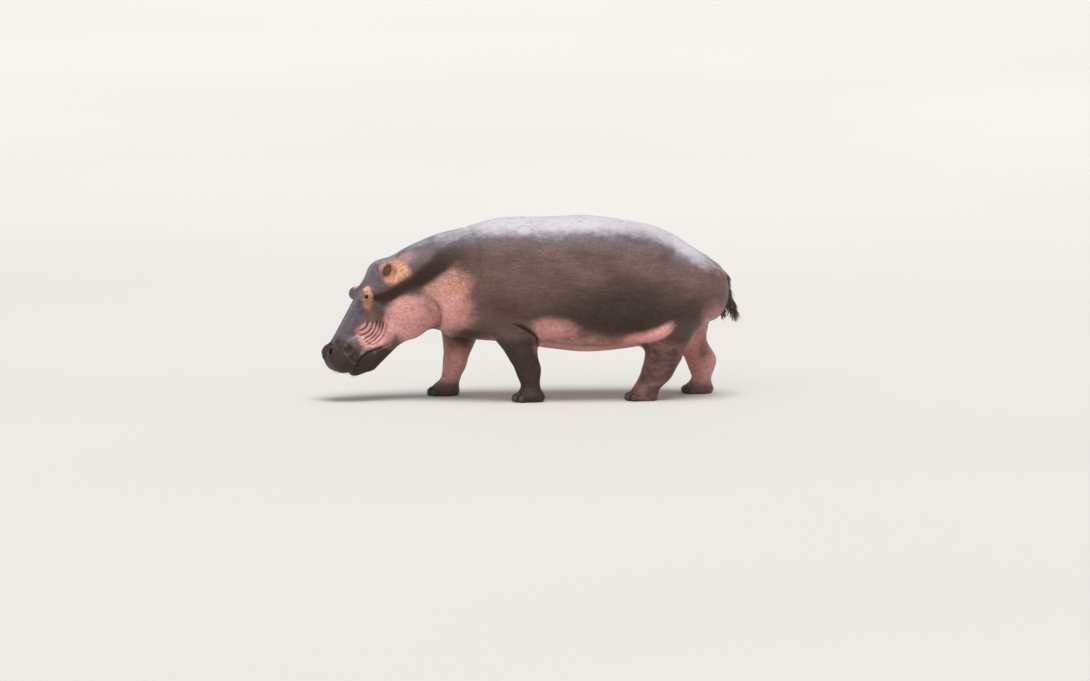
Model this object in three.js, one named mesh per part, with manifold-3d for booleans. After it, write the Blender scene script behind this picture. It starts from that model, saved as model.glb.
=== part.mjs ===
// An adult hippopotamus, walking with its head held low, as a still, life-size model.
//
// Frame: millimetres, +Z up.  The body lies along X with the rump at +X and the muzzle at -X, so the
// animal's left side is at -Y.  The origin is on the floor, under the middle of the model's box.
//
// The flesh is one smooth field: a function of a point that is negative inside the body, zero on its
// surface and about the distance to it outside.  Eggs, bones and one long barrel are blended into that
// field.  Each sub-part is meshed from it on a grid of its own and parted from its neighbours by flat
// cuts, as a carved model is sawn into blocks.
import * as THREE from 'three';
import { mergeVertices } from 'three/addons/utils/BufferGeometryUtils.js';
import Module from 'manifold-3d';

const wasm = await Module();
wasm.setup();

// ---------------------------------------------------------------------------- driving dimensions
const GAP = 0.35;                   // between neighbours that touch
const HALF_GAP = GAP / 2;
const GRID_SHIFT = -1.63;           // grid cells from the low corner of a box to its first grid point
const FAR = 2500;                   // beyond the body on every side

// The barrel of neck and trunk: x, height of the back, of the widest level and of the belly, half width.
const STATIONS = [
  [-1120, 1240, 1010, 800, 190],
  [-915, 1337, 970, 650, 266],
  [-746, 1402, 930, 580, 326],
  [-576, 1441, 900, 520, 382],
  [-237, 1530, 855, 485, 458],
  [186, 1538, 810, 425, 520],
  [525, 1547, 795, 396, 545],
  [1034, 1466, 840, 455, 505],
  [1203, 1400, 880, 520, 466],
  [1373, 1295, 905, 590, 415],
  [1542, 1180, 900, 640, 345],
  [1680, 1085, 905, 700, 270],
];
const BARREL_POWER = 2.25;          // 2 is an ellipse, higher is boxier
const BARREL_NOSE_BLEND = 80;
const BARREL_RUMP_BLEND = 130;

// The head is built in a frame of its own: u to the nose, s to the animal's left, v off the face.
const HEAD_AT = new THREE.Vector3(-1286, -15, 1108);
const HEAD_PITCH = 60;              // degrees the muzzle hangs below the horizontal
const HEAD_YAW = 12;                // degrees it turns to the animal's left
const LEFT = 1;                     // signs of s
const RIGHT = -1;
const EYE_RADIUS = 24;
const EYE_AT = [257, 187, 6];

// Legs: the hip or shoulder inside the body, the joints below it, and the foot with its heading.
const LEGS = {
  front_left: {
    hip: [-200, -300, 880, 215],
    chain: [[-140, -310, 560, 142], [-82, -315, 420, 113], [-30, -315, 270, 92], [-8, -315, 120, 77]],
    foot: [-25, -318], heading: 186,
    outline: [[-430, 545], [-330, 640], [-10, 640], [60, 500], [120, 300], [150, -80], [-330, -80], [-300, 250]],
  },
  front_right: {
    hip: [-440, 300, 880, 215],
    chain: [[-552, 305, 540, 142], [-572, 310, 420, 106], [-594, 312, 290, 88], [-636, 315, 130, 80]],
    foot: [-690, 318], heading: 176,
    outline: [[-760, 520], [-680, 640], [-440, 640], [-360, 520], [-420, 300], [-480, -80], [-960, -80], [-820, 250]],
  },
  hind_left: {
    hip: [1330, -270, 950, 260],
    chain: [[1130, -300, 560, 195], [1118, -300, 400, 142], [1072, -300, 270, 118], [972, -300, 110, 98]],
    foot: [930, -302], heading: 184,
    outline: [[880, 430], [1010, 620], [1180, 700], [1420, 700], [1560, 620], [1400, 250], [1200, -80], [700, -80], [820, 250]],
  },
  hind_right: {
    hip: [1360, 270, 950, 250],
    chain: [[1382, 285, 620, 196], [1455, 290, 420, 108], [1530, 292, 280, 112], [1532, 292, 130, 82]],
    foot: [1500, 295], heading: 178,
    outline: [[1110, 480], [1200, 620], [1330, 700], [1560, 700], [1700, 600], [1740, -80], [1260, -80], [1260, 300]],
  },
};
const LEG_INNER_SIDE = 118;         // how near to the middle plane a leg's block reaches
const HOCK_LEVEL = 300;
const ANKLE_LEVEL = 112;

// Feet: a pad and four toes, each with a short broad nail.
const PAD = { back: 20, level: 40, size: [115, 108, 72] };
const TOE_ANGLES = [-48, -16, 16, 48];
const TOE_ROOT = { reach: 30, spread: 40, level: 60, radius: 55 };
const TOE_TIP = { reach: 105, level: 30, radius: 38 };
const NAIL = { reach: 124, size: [23, 27, 25] };

// Tail: centre line and radius, from inside the rump to the flattened tip.
const TAIL = [[1590, 0, 1080, 60], [1660, 0, 1010, 48], [1698, 0, 900, 40], [1736, 0, 800, 36], [1768, 0, 725, 26]];

// Ears, in the head's frame with s counted outward: where, towards the tip, and out of the cup.
// The left ear stands up and listens forward, and the right one is held out sideways.
const EARS = {
  left: { side: LEFT, at: [-9, 186, -46], tip: [-147, 40, 45], open: [0.42, 0.90, -0.12] },
  right: { side: RIGHT, at: [28, 190, -72], tip: [-60, 130, 2], open: [0.75, 0.35, 0.45] },
};
const EAR_SHELL = [76, 54, 36];
const EAR_HOLLOW = [56, 35, 34];

// Flat cuts across the neck, each through two points of the XZ plane, upper one first.
const HEAD_CUT = [[-1085, 1230], [-770, 545]];
const SHOULDER_CUT = [[-455, 1480], [-600, 520]];
// The mouth line from the lip back to its corner, then down behind the chin, in the head's u and v.
const JAW_OUTLINE = [
  [960, -222], [880, -232], [810, -205], [740, -200], [680, -215], [620, -260], [521, -325],
  [450, -420], [430, -620], [960, -620],
];

// Grid steps along x, y and z: short where the form is small, long where it runs straight.
const STEPS = {
  trunk: [170, 118, 118],
  neck: [130, 96, 96],
  head: [60, 60, 60],
  jaw: [60, 60, 60],
  leg: [66, 66, 100],
  foot: [62, 62, 44],
  tail: [38, 38, 64],
  ear: [17, 17, 17],
};

// ------------------------------------------------------------------------------------- materials
const finish = (color, roughness) => () => new THREE.MeshStandardMaterial({ color, roughness, metalness: 0 });
const BACK_SKIN = finish(0x6d5a58, 0.55);
const HEAD_SKIN = finish(0x7d6264, 0.5);
const LEG_SKIN = finish(0x5a4a48, 0.6);
const EAR_SKIN = finish(0x9a6a50, 0.6);
const EYE_GLOSS = finish(0x3a2415, 0.08);
const NAIL_HORN = finish(0x3d3532, 0.45);

// ----------------------------------------------------------------------------- fields of distance
const rad = THREE.MathUtils.degToRad;
const { clamp } = THREE.MathUtils;

/** An ellipsoid, its nose end raised by `tilt` degrees in the XZ plane. */
function egg([cx, cy, cz], [rx, ry, rz], tilt = 0) {
  const cos = Math.cos(rad(tilt));
  const sin = Math.sin(rad(tilt));
  return (x, y, z) => {
    const dx = (x - cx) * cos + (z - cz) * sin;
    const dy = y - cy;
    const dz = (z - cz) * cos - (x - cx) * sin;
    const k0 = Math.hypot(dx / rx, dy / ry, dz / rz);
    const k1 = Math.hypot(dx / rx ** 2, dy / ry ** 2, dz / rz ** 2) + 1e-9;
    return (k0 * (k0 - 1)) / k1;
  };
}

/** A rod from a to b with round ends, its radius running from ra to rb. */
function bone([ax, ay, az], [bx, by, bz], ra, rb) {
  const ex = bx - ax;
  const ey = by - ay;
  const ez = bz - az;
  const square = ex * ex + ey * ey + ez * ez;
  return (x, y, z) => {
    const px = x - ax;
    const py = y - ay;
    const pz = z - az;
    const t = clamp((px * ex + py * ey + pz * ez) / square, 0, 1);
    return Math.hypot(px - t * ex, py - t * ey, pz - t * ez) - (ra + (rb - ra) * t);
  };
}

/** A flat-topped bar along x from x0 to x1, its middle level running from z0 to z1, with round edges. */
function bar(x0, x1, z0, z1, halfWidth, halfHeight, edge) {
  return (x, y, z) => {
    const t = clamp((x - x0) / (x1 - x0), 0, 1);
    const dx = Math.max(x0 - x, x - x1, 0);
    const dy = Math.max(Math.abs(y) - halfWidth, 0);
    const dz = Math.max(Math.abs(z - z0 - (z1 - z0) * t) - halfHeight, 0);
    return Math.hypot(dx, dy, dz) - edge;
  };
}

/** The smooth lower of a and b: within `reach` of equal, the two run into each other with a fillet. */
function blendOf(a, b, reach) {
  const h = clamp(0.5 + (0.5 * (b - a)) / reach, 0, 1);
  return b + (a - b) * h - reach * h * (1 - h);
}
const cutOf = (a, b, reach) => -blendOf(-a, -b, reach);

/** The first field with each [reach, field] of the rest blended onto it in turn. */
const blend = (first, ...rest) => (x, y, z) =>
  rest.reduce((d, [reach, field]) => blendOf(d, field(x, y, z), reach), first(x, y, z));

/** The same form on both sides of the plane y = 0. */
const bothSides = (field) => (x, y, z) => field(x, Math.abs(y), z);

/** A smooth curve through (xs, ys), with slopes taken from the neighbouring points. */
function curveThrough(xs, ys) {
  const last = xs.length - 1;
  const slope = xs.map((_, i) => {
    const a = Math.max(i - 1, 0);
    const b = Math.min(i + 1, last);
    return (ys[b] - ys[a]) / (xs[b] - xs[a]);
  });
  return (x) => {
    const at = clamp(x, xs[0], xs[last]);
    let i = 0;
    while (i < last - 1 && at > xs[i + 1]) i += 1;
    const width = xs[i + 1] - xs[i];
    const t = (at - xs[i]) / width;
    const s = 1 - t;
    const ends = ys[i] * s * s * (1 + 2 * t) + ys[i + 1] * t * t * (3 - 2 * t);
    return ends + width * (slope[i] * t * s * s - slope[i + 1] * t * t * s);
  };
}

// --------------------------------------------------------------------------------- neck and trunk
const stationX = STATIONS.map((row) => row[0]);
const [backLine, widestLine, bellyLine, halfWidthLine] = [1, 2, 3, 4]
  .map((column) => curveThrough(stationX, STATIONS.map((row) => row[column])));

function barrel(x, y, z) {
  const n = BARREL_POWER;
  const level = widestLine(x);
  const width = halfWidthLine(x);
  const height = z > level ? backLine(x) - level : level - bellyLine(x);
  const a = Math.abs(y) / width + 1e-4;
  const b = Math.abs(z - level) / height + 1e-4;
  const q = (a ** n + b ** n) ** (1 / n);
  const steepness = q ** (1 - n) * Math.hypot(a ** (n - 1) / width, b ** (n - 1) / height);
  const side = (q - 1) / steepness;
  const rumpEnd = cutOf(side, x - stationX.at(-1), BARREL_RUMP_BLEND);
  return cutOf(rumpEnd, stationX[0] - x, BARREL_NOSE_BLEND);
}

const rump = bothSides(egg([1362, 215, 940], [262, 225, 285], 22));
const jowl = bothSides(egg([-640, 175, 690], [120, 130, 160]));

// ------------------------------------------------------------------------------------------- head
const headTurn = new THREE.Matrix4().makeRotationZ(rad(HEAD_YAW));
const pitch = rad(HEAD_PITCH);
const headFrame = new THREE.Matrix4().makeBasis(
  new THREE.Vector3(-Math.cos(pitch), 0, -Math.sin(pitch)),
  new THREE.Vector3(0, -1, 0),
  new THREE.Vector3(-Math.sin(pitch), 0, Math.cos(pitch)),
);
headFrame.premultiply(headTurn).setPosition(HEAD_AT);
const toHead = headFrame.clone().invert();

/** A field written in the head's frame, as a field of the body. */
const onHead = (field) => {
  const m = toHead.elements;
  return (x, y, z) => field(
    m[0] * x + m[4] * y + m[8] * z + m[12],
    m[1] * x + m[5] * y + m[9] * z + m[13],
    m[2] * x + m[6] * y + m[10] * z + m[14],
  );
};

const skull = egg([60, 0, -150], [230, 195, 190]);
const head = bothSides(blend(
  skull,
  [50, egg([16, 50, -46], [96, 105, 82])],                       // crown
  [50, bar(150, 700, -52, -56, 52, 14, 66)],                     // bridge of the nose
  [60, egg([420, 0, -190], [260, 165, 150])],                    // face under the bridge
  [50, egg([765, 105, -118], [140, 118, 118], 6)],               // muzzle
  [50, egg([832, 50, -98], [86, 128, 100])],                     // front of the upper lip
  [40, egg([660, 150, -165], [90, 75, 95], 20)],                 // root of the tusk
  [34, egg([800, 84, -2], [70, 50, 42])],                        // nostril mound
  [45, egg([735, 0, -265], [150, 165, 105], 8)],                 // chin
  [60, bone([700, 110, -282], [430, 130, -350], 104, 112)],      // jaw
  [70, egg([185, 150, -375], [255, 125, 232])],                  // cheek
  [60, egg([510, 0, -320], [250, 120, 100])],                    // throat between the jaws
  [50, egg([120, 140, -150], [190, 75, 90])],                    // arch behind the eye
  [50, bone([235, 80, -55], [252, 146, 2], 84, 60)],             // orbit
));

/** One ear, a cup on a short stalk, in the head's frame. */
function earField({ side, at, tip, open }) {
  const length = new THREE.Vector3(...tip).normalize();
  const out = new THREE.Vector3(...open).normalize();
  out.addScaledVector(length, -out.dot(length)).normalize();
  const across = new THREE.Vector3().crossVectors(out, length);
  const shell = egg([0, 0, -8], EAR_SHELL);
  const hollow = egg([4, 0, 22], EAR_HOLLOW);
  const base = new THREE.Vector3(...at).addScaledVector(length, -52).addScaledVector(out, -8);
  const stalk = bone([60, 120, -80], base.toArray(), 42, 30);
  return (u, s, v) => {
    const du = u - at[0];
    const ds = side * s - at[1];
    const dv = v - at[2];
    const p = [length, across, out].map((axis) => axis.x * du + axis.y * ds + axis.z * dv);
    const cup = cutOf(shell(...p), -hollow(...p), 8);
    return blendOf(cup, stalk(u, side * s, v), 22);
  };
}

// ------------------------------------------------------------------------------------------- legs
function footField([x, y], heading) {
  const pad = egg([x + PAD.back, y, PAD.level], PAD.size);
  const toes = TOE_ANGLES.map((spread) => {
    const angle = rad(heading + spread);
    const root = [x + TOE_ROOT.reach * Math.cos(angle), y + TOE_ROOT.spread * Math.sin(angle), TOE_ROOT.level];
    const tip = [x + TOE_TIP.reach * Math.cos(angle), y + TOE_TIP.reach * Math.sin(angle), TOE_TIP.level];
    return [22, bone(root, tip, TOE_ROOT.radius, TOE_TIP.radius)];
  });
  return blend(pad, ...toes);
}

function legField({ hip, chain, foot, heading }) {
  const joints = [hip, ...chain];
  const bones = chain.map((lower, i) => {
    const upper = joints[i];
    return bone(upper.slice(0, 3), lower.slice(0, 3), upper[3], lower[3]);
  });
  const [first, ...others] = bones;
  return blend(first, ...others.map((field) => [60, field]), [45, footField(foot, heading)]);
}

const flesh = blend(
  barrel,
  [110, rump],
  [45, jowl],
  [90, onHead(head)],
  ...Object.values(LEGS).map((leg) => [100, legField(leg)]),
);

const tailBones = TAIL.slice(1).map((lower, i) => {
  const upper = TAIL[i];
  return bone(upper.slice(0, 3), lower.slice(0, 3), upper[3], lower[3]);
});
const tail = blend(tailBones[0], ...tailBones.slice(1).map((field) => [30, field]));

// ------------------------------------------------------------------- from a field to a closed mesh
/** Moves a point onto the zero level of a field by Newton's steps along its gradient. */
function settle(field, point, steps = 3) {
  const h = 2;
  for (let i = 0; i < steps; i += 1) {
    const { x, y, z } = point;
    const slope = new THREE.Vector3(
      field(x + h, y, z) - field(x - h, y, z),
      field(x, y + h, z) - field(x, y - h, z),
      field(x, y, z + h) - field(x, y, z - h),
    ).divideScalar(2 * h);
    point.addScaledVector(slope, -field(x, y, z) / Math.max(slope.lengthSq(), 0.05));
  }
  return point;
}

// A cell's corners are numbered by the bits x, y, z, and an edge by its lower corner and its axis.
const AXES = [[1, 0, 0], [0, 1, 0], [0, 0, 1]];
const CORNERS = [0, 1, 2, 3, 4, 5, 6, 7].map((bits) => [bits & 1, (bits >> 1) & 1, (bits >> 2) & 1]);
const edgeName = (corner, axis) => 3 * corner + axis;
const FACES = [0, 1, 2].flatMap((axis) => [0, 1].map((side) => {
  const [a, b] = [(axis + 1) % 3, (axis + 2) % 3];
  const start = side << axis;
  const [p, q] = [1 << a, 1 << b];
  return {
    corners: [start, start + p, start + p + q, start + q],
    edges: [edgeName(start, a), edgeName(start + p, b), edgeName(start + q, a), edgeName(start, b)],
  };
}));

/**
 * The edges of a cell that the surface crosses, as closed loops: a list of sets of edge names.  Where a
 * face is crossed four times, its two inside corners are held apart.
 */
function surfaceLoops(isInside) {
  const loopOf = new Map();
  const join = (one, other) => {
    const joined = new Set([...(loopOf.get(one) ?? [one]), ...(loopOf.get(other) ?? [other])]);
    joined.forEach((edge) => loopOf.set(edge, joined));
  };
  for (const { corners, edges } of FACES) {
    const crossed = edges.filter((_, i) => isInside[corners[i]] !== isInside[corners[(i + 1) % 4]]);
    if (crossed.length === 2) join(...crossed);
    if (crossed.length < 4) continue;
    corners.forEach((corner, i) => {
      if (isInside[corner]) join(edges[i], edges[(i + 3) % 4]);
    });
  }
  return new Set(loopOf.values());
}

/**
 * The surface of a field inside a box, as one closed triangle mesh.  In each grid cell that the surface
 * crosses, each loop of crossed edges gets one vertex, and each crossed edge gets one face between the
 * four cells around it.
 */
function netGeometry(field, box, steps) {
  const low = box.min;
  const inBox = (x, y, z) => Math.max(
    field(x, y, z), low.x - x, x - box.max.x, low.y - y, y - box.max.y, low.z - z, z - box.max.z,
  );
  const cell = new THREE.Vector3(...steps);
  const count = box.getSize(new THREE.Vector3()).divide(cell).toArray().map((cells) => Math.ceil(cells) + 4);
  const place = (i, j, k) => new THREE.Vector3(i, j, k).addScalar(GRID_SHIFT).multiply(cell).add(low);
  const index = (i, j, k) => i + count[0] * (j + count[1] * k);
  const value = new Float64Array(count[0] * count[1] * count[2]);
  for (let k = 0; k < count[2]; k += 1) {
    for (let j = 0; j < count[1]; j += 1) {
      for (let i = 0; i < count[0]; i += 1) {
        value[index(i, j, k)] = inBox(...place(i, j, k).toArray());
      }
    }
  }
  const points = [];
  const vertexOfCell = new Map();

  /** The point where the surface crosses one edge of the cell whose lowest corner is (i, j, k). */
  function crossing(i, j, k, edge) {
    const [a, b, c] = CORNERS[Math.floor(edge / 3)];
    const [da, db, dc] = AXES[edge % 3];
    const start = value[index(i + a, j + b, k + c)];
    const end = value[index(i + a + da, j + b + db, k + c + dc)];
    return place(i + a, j + b, k + c).lerp(place(i + a + da, j + b + db, k + c + dc), start / (start - end));
  }

  /** The vertex of that cell for the loop through one of its edges. */
  function cellVertex(i, j, k, wanted) {
    const key = index(i, j, k);
    if (!vertexOfCell.has(key)) {
      const vertexOf = new Map();
      const isInside = CORNERS.map(([a, b, c]) => value[index(i + a, j + b, k + c)] < 0);
      for (const loop of surfaceLoops(isInside)) {
        const middle = new THREE.Vector3();
        loop.forEach((edge) => middle.add(crossing(i, j, k, edge)));
        points.push(settle(inBox, middle.divideScalar(loop.size)));
        loop.forEach((edge) => vertexOf.set(edge, points.length - 1));
      }
      vertexOfCell.set(key, vertexOf);
    }
    return vertexOfCell.get(key).get(wanted);
  }

  const triangles = [];
  function addFace(a, b, c, d) {
    const short = points[a].distanceTo(points[c]) <= points[b].distanceTo(points[d]);
    triangles.push(...(short ? [a, b, c, a, c, d] : [a, b, d, b, c, d]));
  }
  for (let k = 1; k < count[2] - 1; k += 1) {
    for (let j = 1; j < count[1] - 1; j += 1) {
      for (let i = 1; i < count[0] - 1; i += 1) {
        const inside = value[index(i, j, k)] < 0;
        AXES.forEach(([a, b, c], axis) => {
          if (inside === value[index(i + a, j + b, k + c)] < 0) return;
          const [one, two] = [(axis + 1) % 3, (axis + 2) % 3];
          const [p, q] = [AXES[one], AXES[two]];
          const around = [[1, 1], [0, 1], [0, 0], [1, 0]].map(([m, n]) => cellVertex(
            i - m * p[0] - n * q[0],
            j - m * p[1] - n * q[1],
            k - m * p[2] - n * q[2],
            edgeName((m << one) + (n << two), axis),
          ));
          addFace(...(inside ? around : around.reverse()));
        });
      }
    }
  }
  const geometry = new THREE.BufferGeometry().setFromPoints(points);
  geometry.setIndex(triangles);
  return geometry;
}

// -------------------------------------------------------------------------------- solids and cuts
/** A closed three.js geometry as a solid that can be joined and cut. */
function solidOf(geometry) {
  const plain = geometry.clone();
  plain.deleteAttribute('normal');
  plain.deleteAttribute('uv');
  const merged = mergeVertices(plain, 1e-3);
  return new wasm.Manifold(new wasm.Mesh({
    numProp: 3,
    vertProperties: new Float32Array(merged.attributes.position.array),
    triVerts: new Uint32Array(merged.index.array),
  }));
}

/** The largest separate body of a solid: crumbs left by a cut are dropped. */
function mainBody(solid) {
  const bodies = solid.decompose();
  return bodies.reduce((best, body) => (body.volume() > best.volume() ? body : best));
}

/** An outline moved outward by `gap`; the outline runs either way round. */
function grown(outline, gap) {
  const shape = outline.map(([x, z]) => new THREE.Vector2(x, z));
  const sign = Math.sign(THREE.ShapeUtils.area(shape));
  return shape.map((corner, i) => {
    const before = shape.at(i - 1);
    const after = shape[(i + 1) % shape.length];
    const into = corner.clone().sub(before).normalize();
    const outOf = after.clone().sub(corner).normalize();
    const normal = new THREE.Vector2(into.y + outOf.y, -into.x - outOf.x).normalize();
    const lean = normal.dot(new THREE.Vector2(into.y, -into.x));
    return corner.clone().addScaledVector(normal, (sign * gap) / lean).toArray();
  });
}

/** A prism: an outline in the XZ plane carried from y0 to y1. */
function prism(outline, y0, y1) {
  const shape = new THREE.Shape(outline.map(([x, z]) => new THREE.Vector2(x, z)));
  const geometry = new THREE.ExtrudeGeometry(shape, { depth: y1 - y0, bevelEnabled: false });
  const upright = new THREE.Matrix4().makeBasis(
    new THREE.Vector3(1, 0, 0), new THREE.Vector3(0, 0, 1), new THREE.Vector3(0, -1, 0),
  );
  return geometry.applyMatrix4(upright.setPosition(0, y1, 0));
}

/** Everything on the -X side of a cut through two points of the XZ plane, kept `back` from the cut. */
function frontOf([[x0, z0], [x1, z1]], back) {
  const along = new THREE.Vector2(x1 - x0, z1 - z0).normalize();
  const away = new THREE.Vector2(along.y, -along.x);
  const middle = new THREE.Vector2((x0 + x1) / 2, (z0 + z1) / 2).addScaledVector(away, back);
  const corners = [[0, -1], [0, 1], [2, 1], [2, -1]].map(([deep, side]) =>
    middle.clone().addScaledVector(away, deep * FAR).addScaledVector(along, side * FAR).toArray());
  return prism(corners, -FAR, FAR);
}

const level = (bottom, top) => prism([[-FAR, bottom], [FAR, bottom], [FAR, top], [-FAR, top]], -FAR, FAR);
const blockOf = (field, low, high, steps) =>
  solidOf(netGeometry(field, new THREE.Box3(new THREE.Vector3(...low), new THREE.Vector3(...high)), steps));

// --------------------------------------------------------------------------------- the sub-parts
const body = new THREE.Group();
const LEG_BLOCKS = Object.values(LEGS).map(({ outline, hip }) => {
  const side = Math.sign(hip[1]);
  const block = (gap) => {
    const inner = side * (LEG_INNER_SIDE - gap);
    return solidOf(prism(grown(outline, gap), Math.min(inner, side * FAR), Math.max(inner, side * FAR)));
  };
  return { kept: block(-HALF_GAP), cut: block(HALF_GAP) };
});

function addPart(name, solid, material) {
  const { vertProperties, triVerts } = mainBody(solid).getMesh();
  const geometry = new THREE.BufferGeometry();
  geometry.setAttribute('position', new THREE.BufferAttribute(vertProperties, 3));
  geometry.setIndex(new THREE.BufferAttribute(triVerts, 1));
  geometry.computeVertexNormals();
  const mesh = new THREE.Mesh(geometry, material());
  mesh.name = name;
  body.add(mesh);
}

const withoutLegs = (solid) => LEG_BLOCKS.reduce((rest, { cut }) => rest.subtract(cut), solid);

function buildTrunk() {
  const block = blockOf(flesh, [-680, -640, 180], [1780, 640, 1600], STEPS.trunk);
  const trunk = withoutLegs(block).subtract(solidOf(frontOf(SHOULDER_CUT, -HALF_GAP)));
  addPart('trunk', trunk, BACK_SKIN);
  return trunk;
}

function buildTail(trunk) {
  const whole = blockOf(tail, [1500, -120, 640], [1840, 120, 1180], STEPS.tail);
  const rumpMoved = trunk.translate([GAP, 0, 0]);
  addPart('tail', whole.subtract(rumpMoved), BACK_SKIN);
}

function buildNeck() {
  const block = blockOf(flesh, [-1230, -560, 430], [-380, 560, 1520], STEPS.neck);
  const neck = withoutLegs(block)
    .subtract(solidOf(frontOf(HEAD_CUT, -HALF_GAP)))
    .intersect(solidOf(frontOf(SHOULDER_CUT, HALF_GAP)));
  addPart('neck', neck, BACK_SKIN);
}

/** An eyeball in the body's frame, grown by `gap`. */
function eyeball(side, gap = 0) {
  const geometry = new THREE.SphereGeometry(EYE_RADIUS + gap, 12, 9);
  const [u, s, v] = EYE_AT;
  const centre = new THREE.Vector3(u, side * s, v).applyMatrix4(headFrame);
  return geometry.translate(centre.x, centre.y, centre.z);
}

function buildHead() {
  const jawPrism = (gap) => solidOf(prism(grown(JAW_OUTLINE, gap), -FAR, FAR).applyMatrix4(headPrismTurn));
  const kept = solidOf(frontOf(HEAD_CUT, HALF_GAP));
  const block = blockOf(flesh, [-1830, -460, 90], [-720, 420, 1330], STEPS.head).intersect(kept);
  const skullPart = block.subtract(jawPrism(HALF_GAP));
  const withSockets = skullPart
    .subtract(solidOf(eyeball(LEFT, GAP)))
    .subtract(solidOf(eyeball(RIGHT, GAP)));
  addPart('head', withSockets, HEAD_SKIN);
  const chin = blockOf(flesh, [-1830, -460, 90], [-1000, 420, 760], STEPS.jaw);
  addPart('lower_jaw', chin.intersect(jawPrism(-HALF_GAP)), HEAD_SKIN);
  addPart('eye_left', solidOf(eyeball(LEFT)), EYE_GLOSS);
  addPart('eye_right', solidOf(eyeball(RIGHT)), EYE_GLOSS);
  return skullPart;
}

function buildEar(name, ear, skullPart) {
  const { side, at } = ear;
  const centre = new THREE.Vector3(at[0], side * at[1], at[2]).applyMatrix4(headFrame);
  const low = centre.clone().subScalar(150).toArray();
  const high = centre.clone().addScalar(150).toArray();
  const whole = blockOf(onHead(earField(ear)), low, high, STEPS.ear);
  const outward = new THREE.Vector3(0, side * GAP, 0).transformDirection(headFrame).multiplyScalar(GAP);
  addPart(name, whole.subtract(skullPart.translate(outward.toArray())), EAR_SKIN);
}

/** A nail in the body's frame, grown by `gap`. */
function nail([x, y], angle, gap = 0) {
  const geometry = new THREE.SphereGeometry(1, 8, 4);
  const [radial, across, high] = NAIL.size.map((length) => length + gap);
  geometry.scale(radial, across, high).rotateZ(angle);
  const reach = NAIL.reach;
  return geometry.translate(x + reach * Math.cos(angle), y + reach * Math.sin(angle), TOE_TIP.level);
}

function buildLeg(name, leg, { kept }) {
  const { hip, chain, foot, heading, outline } = leg;
  const xs = outline.map(([x]) => x);
  const side = Math.sign(hip[1]);
  const ys = [side * (LEG_INNER_SIDE - 30), side * 640];
  const low = [Math.min(...xs) - 20, Math.min(...ys)];
  const high = [Math.max(...xs) + 20, Math.max(...ys)];
  const block = blockOf(flesh, [...low, 60], [...high, 780], STEPS.leg).intersect(kept);
  const upper = block.intersect(solidOf(level(HOCK_LEVEL + HALF_GAP, FAR)));
  const lower = block.intersect(solidOf(level(ANKLE_LEVEL + HALF_GAP, HOCK_LEVEL - HALF_GAP)));
  addPart(`${name}_upper_leg`, upper, LEG_SKIN);
  addPart(`${name}_lower_leg`, lower, LEG_SKIN);

  const [x, y] = foot;
  const around = blockOf(flesh, [x - 205, y - 190, -60], [x + 220, y + 190, ANKLE_LEVEL + 40], STEPS.foot);
  const flat = around.intersect(solidOf(level(0, ANKLE_LEVEL - HALF_GAP)));
  const angles = TOE_ANGLES.map((spread) => rad(heading + spread));
  const withBeds = angles.reduce((rest, angle) => rest.subtract(solidOf(nail(foot, angle, GAP))), flat);
  addPart(`${name}_foot`, withBeds, LEG_SKIN);
  angles.forEach((angle, i) => addPart(`${name}_nail_${i + 1}`, solidOf(nail(foot, angle)), NAIL_HORN));
}

// The jaw's outline is drawn in the head's u and v, where prism() draws in x and z.
const headPrismTurn = headFrame.clone();

const trunk = buildTrunk();
buildTail(trunk);
buildNeck();
const skullPart = buildHead();
buildEar('ear_left', EARS.left, skullPart);
buildEar('ear_right', EARS.right, skullPart);
Object.entries(LEGS).forEach(([name, leg], i) => buildLeg(name, leg, LEG_BLOCKS[i]));

// The origin goes to the middle of the box, on the floor.
const box = new THREE.Box3().setFromObject(body);
const middle = box.getCenter(new THREE.Vector3());
body.position.set(-middle.x, -middle.y, -box.min.z);

export default body;
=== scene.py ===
# %% [markdown]
# # A hippopotamus on the move
# A life-size model of an adult hippopotamus, walking with its head held low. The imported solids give
# its size and stance. Here they get a living surface: one hide over the whole body, wet eyes in
# their lids, horn nails and a few stiff bristles.
#
# Lengths on the animal are in millimetres until a mesh is made, because folds and lids are easy to
# picture that way. Blender itself gets metres.

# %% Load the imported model
from math import cos, pi, radians, sin

import bmesh
import bpy
import numpy as np
import openvdb
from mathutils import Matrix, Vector


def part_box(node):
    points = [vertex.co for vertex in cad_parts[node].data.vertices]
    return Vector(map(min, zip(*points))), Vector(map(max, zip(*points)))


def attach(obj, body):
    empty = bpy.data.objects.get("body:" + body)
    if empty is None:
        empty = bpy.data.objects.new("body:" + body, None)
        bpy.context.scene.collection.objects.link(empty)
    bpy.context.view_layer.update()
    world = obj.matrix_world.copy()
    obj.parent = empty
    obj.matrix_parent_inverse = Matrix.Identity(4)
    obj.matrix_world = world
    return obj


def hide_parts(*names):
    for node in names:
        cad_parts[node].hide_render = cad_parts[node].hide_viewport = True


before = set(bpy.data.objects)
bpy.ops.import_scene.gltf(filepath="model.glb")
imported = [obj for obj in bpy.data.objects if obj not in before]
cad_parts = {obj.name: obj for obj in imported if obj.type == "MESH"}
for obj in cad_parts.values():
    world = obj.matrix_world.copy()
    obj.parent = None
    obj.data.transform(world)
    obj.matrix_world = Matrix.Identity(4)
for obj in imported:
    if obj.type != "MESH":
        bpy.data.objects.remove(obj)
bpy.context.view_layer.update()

# %% [markdown]
# ## The camera
# A long lens from thirty metres keeps the body free of perspective, as when a wild animal is watched
# from far off. The camera looks at the floor under the middle of the body and shifts its frame
# a little, so that the animal stands left of the middle with open ground around it.

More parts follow.
